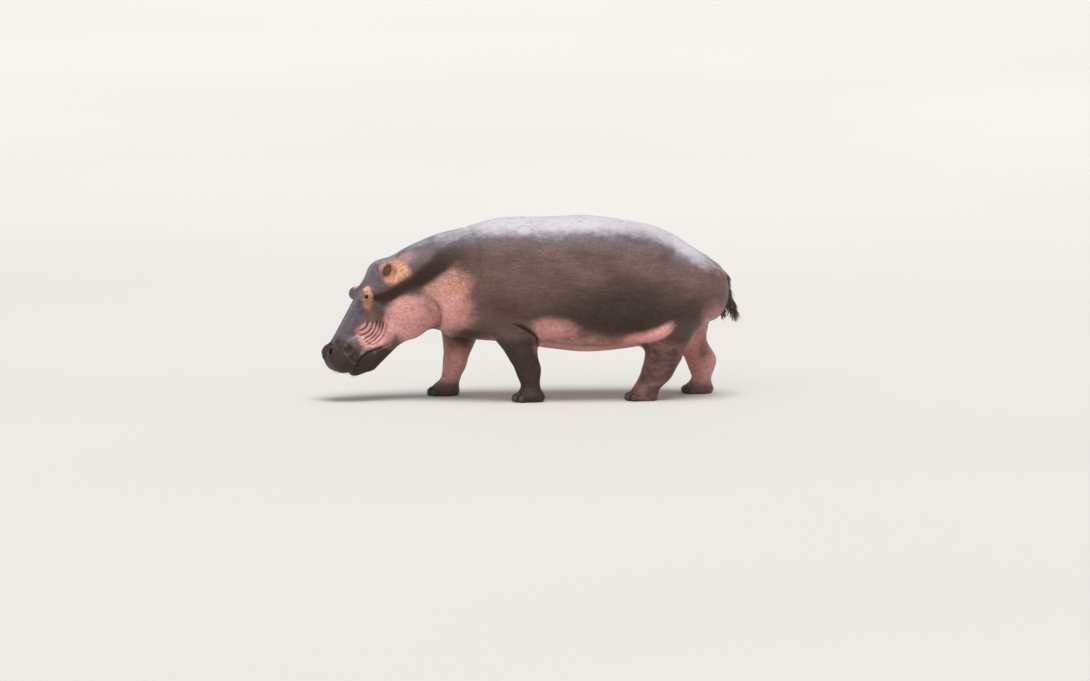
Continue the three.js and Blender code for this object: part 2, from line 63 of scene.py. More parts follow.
# %% The camera
IMAGE_WIDTH = 1090
PIXELS_PER_METRE = 118
CAMERA_AZIMUTH = radians(-6)
CAMERA_ELEVATION = radians(5.5)
CAMERA_DISTANCE = 30
FLOOR_POINT = Vector((-0.02998, 0, 0))
FLOOR_POINT_PIXEL = (528, 398)
IMAGE_MIDDLE = (545, 340.5)

scene = bpy.context.scene
camera_data = bpy.data.cameras.new("camera")
camera = bpy.data.objects.new("camera", camera_data)
scene.collection.objects.link(camera)
towards_camera = Vector((
    sin(CAMERA_AZIMUTH) * cos(CAMERA_ELEVATION),
    -cos(CAMERA_AZIMUTH) * cos(CAMERA_ELEVATION),
    sin(CAMERA_ELEVATION),
))
camera.location = FLOOR_POINT + CAMERA_DISTANCE * towards_camera
camera.rotation_euler = (-towards_camera).to_track_quat("-Z", "Y").to_euler()
camera_data.sensor_width = 36
camera_data.lens = 36 * CAMERA_DISTANCE * PIXELS_PER_METRE / IMAGE_WIDTH
camera_data.shift_x = (IMAGE_MIDDLE[0] - FLOOR_POINT_PIXEL[0]) / IMAGE_WIDTH
camera_data.shift_y = (FLOOR_POINT_PIXEL[1] - IMAGE_MIDDLE[1]) / IMAGE_WIDTH
camera_data.clip_end = 200
scene.camera = camera
print("camera: lens", round(camera_data.lens), "mm")

# %% [markdown]
# ## Form as a field
# Flesh could be sculpted by hand, or lofted from rings. Neither blends a thick neck, a barrel of
# a trunk and four legs without a seam. A field does: a number for every point of space, negative
# inside the flesh, zero on its surface and about the distance to it outside. Two fields are joined
# by a minimum with a soft edge, which leaves a fillet where a leg runs into the belly.

# %% Fields of distance
def blend_of(a, b, reach):
    """The lower of two fields; where they are within reach of each other they run together."""
    h = np.clip(0.5 + 0.5 * (b - a) / reach, 0, 1)
    return b + (a - b) * h - reach * h * (1 - h)


def egg(P, middle, size, tilt=0):
    """An ellipsoid, its nose end raised by tilt degrees."""
    x, y, z = (P - np.array(middle, np.float32)).T
    c = cos(radians(tilt))
    s = sin(radians(tilt))
    q = np.stack([x * c + z * s, y, z * c - x * s])
    r = np.array(size, np.float32)[:, None]
    k0 = np.sqrt(((q / r) ** 2).sum(0))
    k1 = np.sqrt(((q / r ** 2) ** 2).sum(0)) + 1e-9
    return k0 * (k0 - 1) / k1


def bone(P, a, b, radius_a, radius_b):
    """A rod from a to b with round ends."""
    a = np.array(a, np.float32)
    axis = np.array(b, np.float32) - a
    t = np.clip((P - a) @ axis / (axis @ axis), 0, 1)
    return np.sqrt(((P - a - t[:, None] * axis) ** 2).sum(1)) - (radius_a + (radius_b - radius_a) * t)


def bones(P, joints, reach):
    """Rods through a row of joints, each (x, y, z, radius)."""
    d = None
    for upper, lower in zip(joints, joints[1:]):
        rod = bone(P, upper[:3], lower[:3], upper[3], lower[3])
        d = rod if d is None else blend_of(d, rod, reach)
    return d


def ramp(x, start, end):
    """0 before start, 1 after end, and a smooth climb between them."""
    t = np.clip((x - start) / (end - start), 0, 1)
    return t * t * (3 - 2 * t)


def curve_through(xs, ys):
    """A smooth curve through points, as a function."""
    xs = np.array(xs, float)
    ys = np.array(ys, float)
    before = np.maximum(np.arange(len(xs)) - 1, 0)
    after = np.minimum(np.arange(len(xs)) + 1, len(xs) - 1)
    slope = (ys[after] - ys[before]) / (xs[after] - xs[before])

    def height(x):
        x = np.clip(x, xs[0], xs[-1])
        i = np.clip(np.searchsorted(xs, x) - 1, 0, len(xs) - 2)
        width = xs[i + 1] - xs[i]
        t = (x - xs[i]) / width
        s = 1 - t
        ends = ys[i] * s * s * (1 + 2 * t) + ys[i + 1] * t * t * (3 - 2 * t)
        return ends + width * (slope[i] * t * s * s - slope[i + 1] * t * t * s)
    return height


print("a ball of 100 is at distance", egg(np.float32([[150, 0, 0]]), (0, 0, 0), (100, 100, 100))[0])

# %% [markdown]
# ## The trunk
# The barrel of neck and trunk is told by stations along the body. At each one the height of the
# back, of the widest level and of the belly are given, and half the width there. A hippopotamus is
# widest low down, where the belly hangs.

# %% The trunk and the tail
STATIONS = [
    # x, back, widest level, belly, half width
    (-1120, 1240, 1010, 800, 190),
    (-915, 1337, 970, 650, 266),
    (-746, 1402, 930, 580, 326),
    (-576, 1441, 900, 520, 382),
    (-237, 1530, 855, 485, 458),
    (186, 1538, 810, 425, 520),
    (525, 1547, 795, 396, 545),
    (1034, 1466, 840, 455, 505),
    (1203, 1400, 880, 520, 466),
    (1373, 1295, 905, 590, 415),
    (1542, 1180, 900, 640, 345),
    (1680, 1085, 905, 700, 270),
]
STATION_X = [row[0] for row in STATIONS]
BACK, WIDEST, BELLY, HALF_WIDTH = (
    curve_through(STATION_X, [row[column] for row in STATIONS]) for column in (1, 2, 3, 4)
)
BARREL_POWER = 2.25
TAIL = [(1590, 0, 1080, 60), (1660, 0, 1010, 48), (1698, 0, 900, 40), (1736, 0, 800, 36), (1768, 0, 725, 26)]


def barrel(P):
    x, y, z = P.T
    n = BARREL_POWER
    level = WIDEST(x)
    width = HALF_WIDTH(x)
    height = np.where(z > level, BACK(x) - level, level - BELLY(x))
    a = np.abs(y) / width + 1e-4
    b = np.abs(z - level) / height + 1e-4
    q = (a ** n + b ** n) ** (1 / n)
    steepness = q ** (1 - n) * np.hypot(a ** (n - 1) / width, b ** (n - 1) / height)
    side = (q - 1) / steepness
    rump_end = -blend_of(-side, STATION_X[-1] - x, 130)
    return -blend_of(-rump_end, x - STATION_X[0], 80)


print("back at the shoulder", round(float(BACK(-237.0))), "mm, at the loin", round(float(BACK(525.0))), "mm")

# %% [markdown]
# ## The head
# The head hangs sixty degrees below level and turns a little to the animal's left, so it has a frame
# of its own: u runs to the nose, s to the animal's left and v off the face. Every bump of skull and
# lip is written in that frame, once for both sides, and so is every fold later on.

# %% The head's own frame
HEAD_AT = np.float32([-1286, -15, 1108])
HEAD_PITCH = radians(60)
HEAD_YAW = radians(12)
TURN = np.array([[cos(HEAD_YAW), -sin(HEAD_YAW), 0], [sin(HEAD_YAW), cos(HEAD_YAW), 0], [0, 0, 1]])
HEAD_AXES = np.array([
    TURN @ (-cos(HEAD_PITCH), 0, -sin(HEAD_PITCH)),
    TURN @ (0, -1, 0),
    TURN @ (-sin(HEAD_PITCH), 0, cos(HEAD_PITCH)),
], np.float32)


def to_head(P):
    """Points of the body, in the head's frame: u, s, v."""
    return (P - HEAD_AT) @ HEAD_AXES.T


def from_head(Q):
    return np.asarray(Q, np.float32) @ HEAD_AXES + HEAD_AT

# %% Eyes and ears: where they are
EYE_AT = np.float32([257, 187, 6])
EYE_RADIUS = 24
EARS = {
    # for each sign of s: middle, towards the tip, out of the cup
    1: ((-9, 186, -46), (-147, 40, 45), (0.42, 0.90, -0.12)),
    -1: ((28, 190, -72), (-60, 130, 2), (0.75, 0.35, 0.45)),
}
EAR_SIZE = (76, 54, 36)


def unit(v):
    v = np.array(v, float)
    return v / np.linalg.norm(v)


def squared(v, to):
    """Direction v, turned until it is square to the unit direction to."""
    v = np.array(v, float)
    return unit(v - to * (to @ v))


def ear_axes(side):
    """The ear's own axes: along it, across it and out of its cup."""
    along = unit(EARS[side][1])
    out = squared(unit(EARS[side][2]), along)
    return np.array([along, np.cross(out, along), out], np.float32)


def in_ear(Q, side):
    """Points of the head, with s counted outwards, in the ear's own frame."""
    return (Q - np.float32(EARS[side][0])) @ ear_axes(side).T


def ear(M, side):
    """An ear without its hollow, on a short stalk; M counts s outwards."""
    middle = np.float32(EARS[side][0])
    axes = ear_axes(side)
    shell = egg(in_ear(M, side), (0, 0, -8), EAR_SIZE)
    foot = middle - 52 * axes[0] - 8 * axes[2]
    return blend_of(shell, bone(M, (60, 120, -80), foot, 42, 30), 22)


# %% The head's flesh
def bar(M, start, end, half_width, half_height, edge):
    """The straight bridge of the nose, from start to end (u, v), with round edges."""
    u, s, v = M.T
    t = np.clip((u - start[0]) / (end[0] - start[0]), 0, 1)
    du = np.maximum(np.maximum(start[0] - u, u - end[0]), 0)
    ds = np.maximum(s - half_width, 0)
    dv = np.maximum(np.abs(v - start[1] - (end[1] - start[1]) * t) - half_height, 0)
    return np.sqrt(du * du + ds * ds + dv * dv) - edge


def head(P):
    Q = to_head(P).astype(np.float32)
    M = Q * np.float32([1, 0, 1])
    M[:, 1] = np.abs(Q[:, 1])
    forms = [
        (50, egg(M, (16, 50, -46), (96, 105, 82))),                    # crown
        (50, bar(M, (150, -52), (700, -56), 52, 14, 66)),              # bridge of the nose
        (60, egg(M, (420, 0, -190), (260, 165, 150))),                 # face under the bridge
        (50, egg(M, (765, 105, -118), (140, 118, 118), 6)),            # muzzle
        (50, egg(M, (832, 50, -98), (86, 128, 100))),                  # front of the upper lip
        (40, egg(M, (660, 150, -165), (90, 75, 95), 20)),              # root of the tusk
        (34, egg(M, (800, 84, -2), (70, 50, 42))),                     # nostril mound
        (45, egg(M, (735, 0, -265), (150, 165, 105), 8)),              # chin
        (60, bone(M, (700, 110, -282), (430, 130, -350), 104, 112)),   # jaw
        (70, egg(M, (185, 150, -375), (255, 125, 232))),               # cheek
        (60, egg(M, (510, 0, -320), (250, 120, 100))),                 # throat between the jaws
        (50, egg(M, (120, 140, -150), (190, 75, 90))),                 # arch behind the eye
        (50, bone(M, (235, 80, -55), (252, 146, 2), 84, 60)),          # orbit
        (14, np.where(Q[:, 1] > 0, ear(M, 1), ear(M, -1))),
    ]
    d = egg(M, (60, 0, -150), (230, 195, 190))                         # skull
    for reach, form in forms:
        d = blend_of(d, form, reach)
    return d


print("left eye at", from_head(EYE_AT).round(), "mm")

# %% [markdown]
# ## The legs
# Each leg is a chain of rods from the shoulder or hip down, ending in a broad pad with four toes.
# The near foreleg and the far hind leg push back while the other two swing forward.

# %% Legs and the whole flesh
LEGS = {
    # joints (x, y, z, radius), then the foot's middle and the way it points
    "front_left": ([(-200, -300, 880, 215), (-140, -310, 560, 142), (-82, -315, 420, 113),
                    (-30, -315, 270, 92), (-8, -315, 120, 77)], (-25, -318), 186),
    "front_right": ([(-440, 300, 880, 215), (-552, 305, 540, 142), (-572, 310, 420, 106),
                     (-594, 312, 290, 88), (-636, 315, 130, 80)], (-690, 318), 176),
    "hind_left": ([(1330, -270, 950, 260), (1130, -300, 560, 195), (1118, -300, 400, 142),
                   (1072, -300, 270, 118), (972, -300, 110, 98)], (930, -302), 184),
    "hind_right": ([(1360, 270, 950, 250), (1382, 285, 620, 196), (1455, 290, 420, 108),
                    (1530, 292, 280, 112), (1532, 292, 130, 82)], (1500, 295), 178),
}
TOE_ANGLES = (-48, -16, 16, 48)


def foot(P, at, heading):
    x, y = at
    d = egg(P, (x + 20, y, 40), (115, 108, 72))
    for spread in TOE_ANGLES:
        c = cos(radians(heading + spread))
        s = sin(radians(heading + spread))
        toe = bone(P, (x + 30 * c, y + 40 * s, 60), (x + 105 * c, y + 105 * s, 30), 55, 38)
        d = blend_of(d, toe, 22)
    return d


def flesh(P):
    P = P.astype(np.float32)
    both = np.stack([P[:, 0], np.abs(P[:, 1]), P[:, 2]], 1)
    d = barrel(P)
    d = blend_of(d, egg(both, (1362, 215, 940), (262, 225, 285), 22), 110)   # haunch
    d = blend_of(d, egg(both, (-640, 175, 690), (120, 130, 160)), 45)        # jowl
    d = blend_of(d, head(P), 90)
    for joints, at, heading in LEGS.values():
        d = blend_of(d, blend_of(bones(P, joints, 60), foot(P, at, heading), 45), 100)
    return blend_of(d, bones(P, TAIL, 30), 24)

# %% [markdown]
# ## From field to hide
# The field is sampled on a grid and handed to OpenVDB, the library behind Blender's Volume to Mesh.
# It returns closed quads. Remeshing everything finely would waste most of the faces on the smooth
# flanks, so the net starts coarse and is subdivided only where a form is small: once on the head and
# the feet, again on lips, ears and folds, and a third time round the eyes. After each round the
# points are pulled back onto the true surface along the field's slope.

# %% The coarse net
CELL = 22
LOW = np.array([-1830, -620, -80])
HIGH = np.array([1900, 620, 1620])


def in_parts(field, P, size=200000):
    return np.concatenate([field(P[i:i + size]) for i in range(0, len(P), size)])


counts = np.ceil((HIGH - LOW) / CELL).astype(int)
ticks = [LOW[i] + CELL * np.arange(counts[i]) for i in range(3)]
lattice = np.stack(np.meshgrid(*ticks, indexing="ij"), -1).reshape(-1, 3).astype(np.float32)
grid = openvdb.FloatGrid(3.0 * CELL)
grid.copyFromArray(in_parts(flesh, lattice).reshape(counts))
net_points, net_quads = grid.convertToQuads(isovalue=0.0)
net_points = LOW + net_points * CELL
print("coarse net:", len(net_points), "points,", len(net_quads), "quads")


# %% Pull points onto the surface
def slope_of(field, P, h=3.0):
    """The field's gradient, which points outwards."""
    g = np.empty((len(P), 3), np.float32)
    for k in range(3):
        step = np.zeros(3, np.float32)
        step[k] = h
        g[:, k] = (in_parts(field, P + step) - in_parts(field, P - step)) / (2 * h)
    return g


def settle(P):
    """One Newton step towards the surface; soles stay flat on the floor."""
    P = P.astype(np.float32)
    g = slope_of(flesh, P)
    P = P - g * (in_parts(flesh, P) / np.maximum((g * g).sum(1), 0.05))[:, None]
    P[:, 2] = np.maximum(P[:, 2], 0)
    return P


# %% Where the hide needs finer faces
def near(P, middle, radius):
    return ((P - np.float32(middle)) ** 2).sum(1) < radius ** 2


def fine_once(P):
    """Head, feet, tail and the skin folds behind the elbow and at the flank."""
    x, y, z = P.T
    Q = to_head(P)
    on_head = (Q[:, 0] > -170) & (x < -830) & (Q[:, 2] > -560)
    armpit = (np.abs(y) > 150) & near(P * [1, 0, 1], (10, 0, 560), 170)
    flank = (np.abs(y) > 150) & near(P * [1, 0, 1], (1050, 0, 560), 210)
    return on_head | (z < 110) | (x > 1640) | armpit | flank


def fine_twice(P):
    """Lips, pleats, nostrils, ears and eyes."""
    Q = to_head(P)
    u, s, v = Q.T
    s = np.abs(s)
    face = (u > 380) & (v < 10) & (v > -390) & (s > 40)
    lips = (u > 640) & (v > -330) & (v < 60)
    orbit = near(np.stack([u, s, v], 1), EYE_AT, 120)
    ears = near(np.stack([u, s, v], 1), (-20, 200, -55), 118)
    return (face & (u < 700)) | lips | orbit | ears


def fine_thrice(P):
    """The lids, and the rims of the nostrils."""
    Q = to_head(P)
    Q[:, 1] = np.abs(Q[:, 1])
    return near(Q, EYE_AT, 52) | near(Q, (808, 92, 36), 42)

# %% Subdivide it in rounds
net = bmesh.new()
for point in settle(net_points).tolist():
    net.verts.new(point)
net.verts.ensure_lookup_table()
for quad in net_quads.tolist():
    net.faces.new([net.verts[i] for i in quad])
for wanted in (fine_once, fine_twice, fine_thrice):
    net.edges.ensure_lookup_table()
    middles = np.array([(e.verts[0].co + e.verts[1].co) / 2 for e in net.edges], np.float32)
    split = [net.edges[i] for i in np.flatnonzero(wanted(middles))]
    bmesh.ops.subdivide_edges(net, edges=split, cuts=1, use_grid_fill=True)
    places = settle(np.array([v.co for v in net.verts], np.float32))
    for vert, place in zip(net.verts, places.tolist()):
        vert.co = place
    print(wanted.__name__, "->", len(net.verts), "points")
bmesh.ops.triangulate(net, faces=[f for f in net.faces if len(f.verts) > 4])
bmesh.ops.recalc_face_normals(net, faces=net.faces)

# %% [markdown]
# ## Folds
# Living hide creases where it bends and rolls where it is pushed. Sculpting brushes would do, but
# a crease is easier to place as a line on the side of the body with a width and a depth. Each point
# of the hide then moves along its own normal: down in the crease and up on the rolls beside it.

# %% The points, their normals and their two sets of coordinates
hide_points = np.array([v.co for v in net.verts], np.float32)
hide_normals = slope_of(flesh, hide_points)
hide_normals /= np.linalg.norm(hide_normals, axis=1)[:, None] + 1e-9
X, Y, Z = hide_points.T
U, S, V = to_head(hide_points).T
SIDE = np.sign(S)
S = np.abs(S)
head_share = ramp(-X, 700, 900)
body_share = 1 - head_share
side_view = np.stack([X, Z], 1)
face_view = np.stack([U, V], 1)
NEAR = ramp(-Y, -40, 40)
FAR = 1 - NEAR


# %% Tools for folds
def nearest(points, line):
    """Distance from a smooth line, how far along it (0 to 1), and the signed distance across it."""
    line = np.array(line, float)
    knots = np.linspace(0, 1, len(line))
    fine = np.linspace(0, 1, 8 * len(line))
    path = np.stack([curve_through(knots, line[:, k])(fine) for k in (0, 1)], 1)
    best = np.full(len(points), 1e9)
    across = np.zeros(len(points))
    along = np.zeros(len(points))
    for i in range(len(path) - 1):
        step = path[i + 1] - path[i]
        rel = points - path[i]
        t = np.clip(rel @ step / (step @ step), 0, 1)
        gap = rel - t[:, None] * step
        d = np.hypot(gap[:, 0], gap[:, 1])
        closer = d < best
        best = np.where(closer, d, best)
        turn = np.sign(step[0] * gap[:, 1] - step[1] * gap[:, 0])
        across = np.where(closer, turn * d, across)
        along = np.where(closer, (i + t) / (len(path) - 1), along)
    return best, along, across


def crease(points, line, width, depth, rolls=0.35):
    """A furrow along a line, fading at its ends, with a soft roll on either side."""
    d, t, _ = nearest(points, line)
    fade = ramp(t, 0, 0.2) * ramp(1 - t, 0, 0.2)
    furrow = -np.exp(-(d / width) ** 2)
    roll = rolls * np.exp(-((d - 2.2 * width) / (1.3 * width)) ** 2)
    return depth * fade * (furrow + roll)


def lip(points, line, width, height, depth):
    """A roll of skin on the left of a line that hangs over a furrow."""
    d, t, across = nearest(points, line)
    fade = ramp(t, 0, 0.25) * ramp(1 - t, 0, 0.25)
    roll = height * np.exp(-((across - 0.9 * width) / width) ** 2)
    furrow = -depth * np.exp(-((across + 0.25 * width) / (0.35 * width)) ** 2)
    return fade * (roll + furrow)


def oval(points, middle, size, turn=0):
    """Distance from the middle of an ellipse turned by some degrees: 1 on its edge."""
    c = cos(radians(turn))
    s = sin(radians(turn))
    x, y = (points - np.array(middle, float)).T
    return np.hypot((x * c + y * s) / size[0], (y * c - x * s) / size[1])


def dent(points, middle, size, depth, turn=0):
    """A soft hollow, or a soft swelling if depth is negative."""
    return -depth * (1 - ramp(oval(points, middle, size, turn), 0, 1))

# %% Folds of the body
outer = ramp(np.abs(Y), 60, 160)
near_side = NEAR * outer
far_side = FAR * outer
FLANK_LINE = [(760, 470), (900, 490), (1040, 530), (1150, 590), (1240, 670)]
ELBOW_FOLD = [(-175, 672), (-60, 618), (24, 552), (54, 470)]
JOWL_FRONT = [(-819, 860), (-776, 764), (-768, 679), (-785, 585)]
NECK_LINE = [(-640, 1120), (-615, 980), (-625, 850), (-655, 740)]
NECK_LINE_SHIFTS = (0, 62, 128)
BODY_FOLDS = [
    # where, what, its line or its middle, and its sizes
    (1, crease, [(-560, 1520), (-500, 1400), (-462, 1300), (-458, 1050), (-495, 866), (-560, 740)], 17, 13),
    (outer * body_share, crease, [(-640, 1430), (-590, 1250), (-570, 1060)], 22, 4),
    (near_side, lip, [(-400, 668), (-200, 640), (-70, 590), (10, 535), (60, 480)], 42, 14, 10),
    (near_side, crease, ELBOW_FOLD, 15, 26, 0.6),
    (near_side, crease, [(-44, 790), (20, 700), (70, 610), (95, 520)], 16, 9, 0.5),
    (far_side, lip, [(-760, 650), (-640, 640), (-500, 600), (-420, 530), (-380, 470)], 42, 12, 9),
    (outer, lip, FLANK_LINE, 38, 24, 9),
    (outer, dent, (890, 1368), (150, 85), 26, -15),
    (outer, dent, (1180, 1150), (260, 120), 12, -50),
    (outer, dent, (-260, 1060), (170, 270), -12, 20),
    (outer, dent, (-10, 960), (95, 260), 10, 10),
    (outer, dent, (1330, 900), (200, 260), -12),
    (near_side, crease, [(1000, 372), (1080, 340), (1160, 345), (1230, 375)], 12, 8),
    (near_side, crease, [(1010, 262), (1060, 240), (1130, 245), (1190, 270)], 12, 7),
    (far_side, crease, [(1400, 380), (1460, 350), (1520, 355), (1580, 385)], 12, 7),
    (outer, crease, [(1470, 1215), (1540, 1160), (1600, 1060), (1625, 960)], 14, 7),
    (outer, crease, [(1500, 900), (1560, 800), (1560, 700), (1500, 610)], 20, 9),
    *[(outer, crease, [(x + by, z) for x, z in NECK_LINE], 12, 6, 0.6) for by in NECK_LINE_SHIFTS],
    (outer, crease, JOWL_FRONT, 19, 26, 0.6),
    (outer, crease, [(-590, 900), (-578, 764), (-606, 653), (-674, 570)], 16, 14, 0.4),
    (outer, dent, (-690, 690), (88, 150), -30, 8),
]
lift = np.zeros(len(hide_points))
for where, form, *shape in BODY_FOLDS:
    lift += where * form(side_view, *shape)
TAIL_CLEFT_DEPTH = 26
lift -= TAIL_CLEFT_DEPTH * np.exp(-(Y / 26) ** 2) * ramp(X, 1600, 1680) * ramp(-Z, -1000, -880)
_, _, above_flank = nearest(side_view, FLANK_LINE)
print("body folds: from", round(lift.min(), 1), "to", round(lift.max(), 1), "mm")

# %% [markdown]
# ## The face
# The mouth line is the one deep furrow of the face. The upper lip hangs over it like a cushion.
# Behind the lip, where the jaw hinges, the skin is thrown into a fan of pleats that unfold when the
# mouth gapes. Their lines are arcs about one point, cut off in front by a straight crease.

# %% The mouth line
MOUTH_LINE = [(945, -226), (880, -232), (810, -208), (740, -200), (680, -216), (620, -262), (540, -330)]
_, along_mouth, below_mouth = nearest(face_view, MOUTH_LINE)
above_mouth = -below_mouth
mouth_fade = ramp(1 - along_mouth, 0, 0.08) * head_share * ramp(U, 500, 560)
furrow = np.exp(-(above_mouth / 8) ** 2)
hanging = np.exp(-((above_mouth - 26) / 22) ** 2)
lower_lip = np.exp(-((above_mouth + 20) / 14) ** 2) * ramp(-U, -840, -760)
mouth_front = ramp(U, 760, 850)
lift += mouth_fade * (-15 * furrow + 9 * hanging + 2 * lower_lip) * (1 - 0.6 * mouth_front)
lift += head_share * dent(face_view, (810, -310), (110, 75), 13)

# %% The fan of pleats
FAN_AT = (471, -50)
FAN_RADII = [40, 78, 120, 152, 176, 197, 226]
fan_radius = np.hypot(U - FAN_AT[0], V - FAN_AT[1])
fan_turn = np.degrees(np.arctan2(-(V - FAN_AT[1]), U - FAN_AT[0]))
fan_phase = np.interp(fan_radius, [0] + FAN_RADII + [300], [0, 1, 2, 3, 4, 5, 6, 7, 8])
FAN_CREASE = [(425, -68), (505, -84), (566, -112), (600, -206), (566, -268)]
_, _, before_crease = nearest(face_view, FAN_CREASE)
fan_window = ramp(fan_radius, 30, 60) * (1 - ramp(fan_radius, 222, 232)) * ramp(fan_turn, 28, 46)
fan_window *= (1 - ramp(fan_turn, 112, 128)) * (1 - ramp(before_crease, -12, 6)) * ramp(S, 90, 130)
pleat = np.abs(np.sin(pi * fan_phase)) ** 0.7
pleats_share = fan_window * head_share
print("fan of pleats:", int((pleats_share > 0.5).sum()), "points")
lift += pleats_share * (24 * pleat - 16)
lift += head_share * ramp(S, 90, 130) * crease(face_view, FAN_CREASE[1:], 8, 10, 0.7)
lift += head_share * ramp(S, 90, 130) * lip(face_view, [(500, -350), (550, -318), (592, -272)], 16, 6, 9)

# %% Muzzle, cheek and brow
cheekward = head_share * ramp(S, 80, 140)
FACE_FOLDS = [
    # where, what, its line or its middle (u, v), and its sizes
    (cheekward, dent, (717, -66), (58, 44), 32, -20),
    (cheekward, dent, (408, -205), (95, 70), 12, -35),
    (cheekward, dent, (765, 0), (26, 22), -6),
    (cheekward, dent, (700, -250), (70, 36), -5),
    (cheekward, dent, (225, -420), (230, 165), -15, -65),
    (cheekward, crease, [(700, 20), (690, -60), (735, -125), (800, -150)], 14, 7),
    (cheekward, crease, [(300, 20), (320, -40), (380, -90), (450, -110)], 12, 6),
    (cheekward, crease, [(330, -150), (420, -200), (480, -260), (500, -330)], 16, 6),
    (cheekward, crease, [(-20, -600), (20, -660), (90, -690), (150, -660)], 18, 8),
    (cheekward, crease, [(-60, -480), (-30, -560), (20, -640)], 16, 5),
    (head_share, crease, [(180, -40), (140, 10), (90, 30)], 16, 4),
]
for where, form, *shape in FACE_FOLDS:
    lift += where * form(face_view, *shape)
print("face folds:", len(FACE_FOLDS))

# %% [markdown]
# ## Eyes in their lids
# An eye sits deep in a raised orbit. The opening is a hole in the hide, but a hole would leave
# a raw edge. Instead the hide inside the opening is pushed down until the eyeball hides it. Round
# the opening the lid follows the ball at a lid's thickness, and loose skin below it hangs in bags.

# %% Lids, given along the eye's own axis
EYE_OUT = unit((0.22, 0.95, 0.20))
EYE_LONG = squared((1.0, -0.1, -0.25), EYE_OUT)
EYE_UP = np.cross(EYE_LONG, EYE_OUT)
EYE_UP *= np.sign(EYE_UP[2])
EYE_AXES = np.array([EYE_LONG, EYE_UP, EYE_OUT])
HALF_OPENING = (21.5, 17.5)
LID = 3.5

mirrored = np.stack([U, S, V], 1)
ea, eb, ec = ((mirrored - EYE_AT) @ EYE_AXES.T).T
eye_span = np.hypot(ea, eb)
opening = np.hypot(ea / HALF_OPENING[0], eb / HALF_OPENING[1])
on_orbit = (ec > -25) & (eye_span < 130) & (head_share > 0.5)
bags = np.exp(-((eye_span - 40) / 3) ** 2) + 0.7 * np.exp(-((eye_span - 57 - 0.12 * ea) / 3.5) ** 2)
bags += 0.6 * np.exp(-((eye_span - 78 - 0.2 * ea) / 4.2) ** 2)
below_eye = ramp(-eb + 0.2 * ea, -2, 26)
lift += np.where(on_orbit, below_eye * (-5 * bags + 3.5 * np.exp(-((eye_span - 48) / 6) ** 2)), 0)
above_eye = ramp(eb, -4, 14)
brow_roll = 11 * np.exp(-((eye_span - 44) / 13) ** 2) - 4 * np.exp(-((eye_span - 29) / 3) ** 2)
lift += np.where(on_orbit, above_eye * brow_roll, 0)
print("orbits:", int(on_orbit.sum()), "points")

# %% Nostrils
NOSTRIL_AT = np.float32([806, 112, 26])
NOSTRIL_OUT = unit((0.26, 0.80, 0.54))
NOSTRIL_LONG = squared((0.80, 0.0, -0.35), NOSTRIL_OUT)
NOSTRIL_AXES = np.array([NOSTRIL_LONG, np.cross(NOSTRIL_OUT, NOSTRIL_LONG), NOSTRIL_OUT])
na, nb, nc = ((mirrored - NOSTRIL_AT) @ NOSTRIL_AXES.T).T
slit = np.hypot(na / 25, (nb - 0.010 * na ** 2) / 13)
at_nostril = (np.abs(nc) < 60) & (head_share > 0.5)
lift += np.where(at_nostril, 7 * np.exp(-((slit - 1.55) / 0.5) ** 2), 0)
print("nostril slits:", int((at_nostril & (slit < 1)).sum()), "points")

# %% Toes and nail folds
NAIL_REACH = 124
NAIL_HEIGHT = 30
toe_gap = np.zeros(len(hide_points))
NAIL_MIDDLES = []
for _, (x0, y0), heading in LEGS.values():
    bearing = (np.degrees(np.arctan2(Y - y0, X - x0)) - heading + 180) % 360 - 180
    reach = np.hypot(X - x0, Y - y0)
    low = (1 - ramp(Z, 50, 105)) * ramp(reach, 60, 100) * (1 - ramp(reach, 170, 190))
    for gap in (-32, 0, 32):
        toe_gap += low * np.exp(-((bearing - gap) / 5) ** 2)
    for spread in TOE_ANGLES:
        angle = radians(heading + spread)
        nail_x = x0 + NAIL_REACH * cos(angle)
        nail_y = y0 + NAIL_REACH * sin(angle)
        NAIL_MIDDLES.append((nail_x, nail_y, NAIL_HEIGHT, angle))
lift -= 11 * toe_gap
for x0, y0, z0, angle in NAIL_MIDDLES:
    gap = np.sqrt((X - x0) ** 2 + (Y - y0) ** 2 + (Z - z0) ** 2)
    lift += 4 * np.exp(-((gap - 34) / 6) ** 2) * ramp(Z, 22, 40)
print("toes:", len(NAIL_MIDDLES))

# %% Move the hide along its normals
lift = np.where((S > 150) & near(mirrored, (-20, 205, -55), 95), 0, lift)
placed = hide_points + hide_normals * lift[:, None]
print("folds move the hide by up to", round(float(np.abs(lift).max()), 1), "mm")

# %% Fit the lids to the eyeballs
BALL_UNDER_HIDE = 6
ball = np.sqrt(np.maximum(EYE_RADIUS ** 2 - eye_span ** 2, 0))
lid_ball = np.sqrt(np.maximum((EYE_RADIUS + LID) ** 2 - eye_span ** 2, 16))
outwards_s = to_head(placed)
outwards_s[:, 1] *= SIDE
moved = (outwards_s - EYE_AT) @ EYE_AXES.T
lid_share = 1 - ramp(opening, 1.25, 2.0)
level = moved[:, 2] * (1 - lid_share) + np.maximum(lid_ball, moved[:, 2] - 2) * lid_share
inside = 1 - ramp(opening, 0.88, 1.04)
level = level * (1 - inside) + (ball - BALL_UNDER_HIDE) * inside
at_lids = on_orbit & (opening < 2.2)
moved[:, 2] = np.where(at_lids, level, moved[:, 2])
back = moved @ EYE_AXES + EYE_AT
back[:, 1] *= SIDE
placed = np.where(at_lids[:, None], from_head(back), placed)
print("lids:", int(at_lids.sum()), "points")

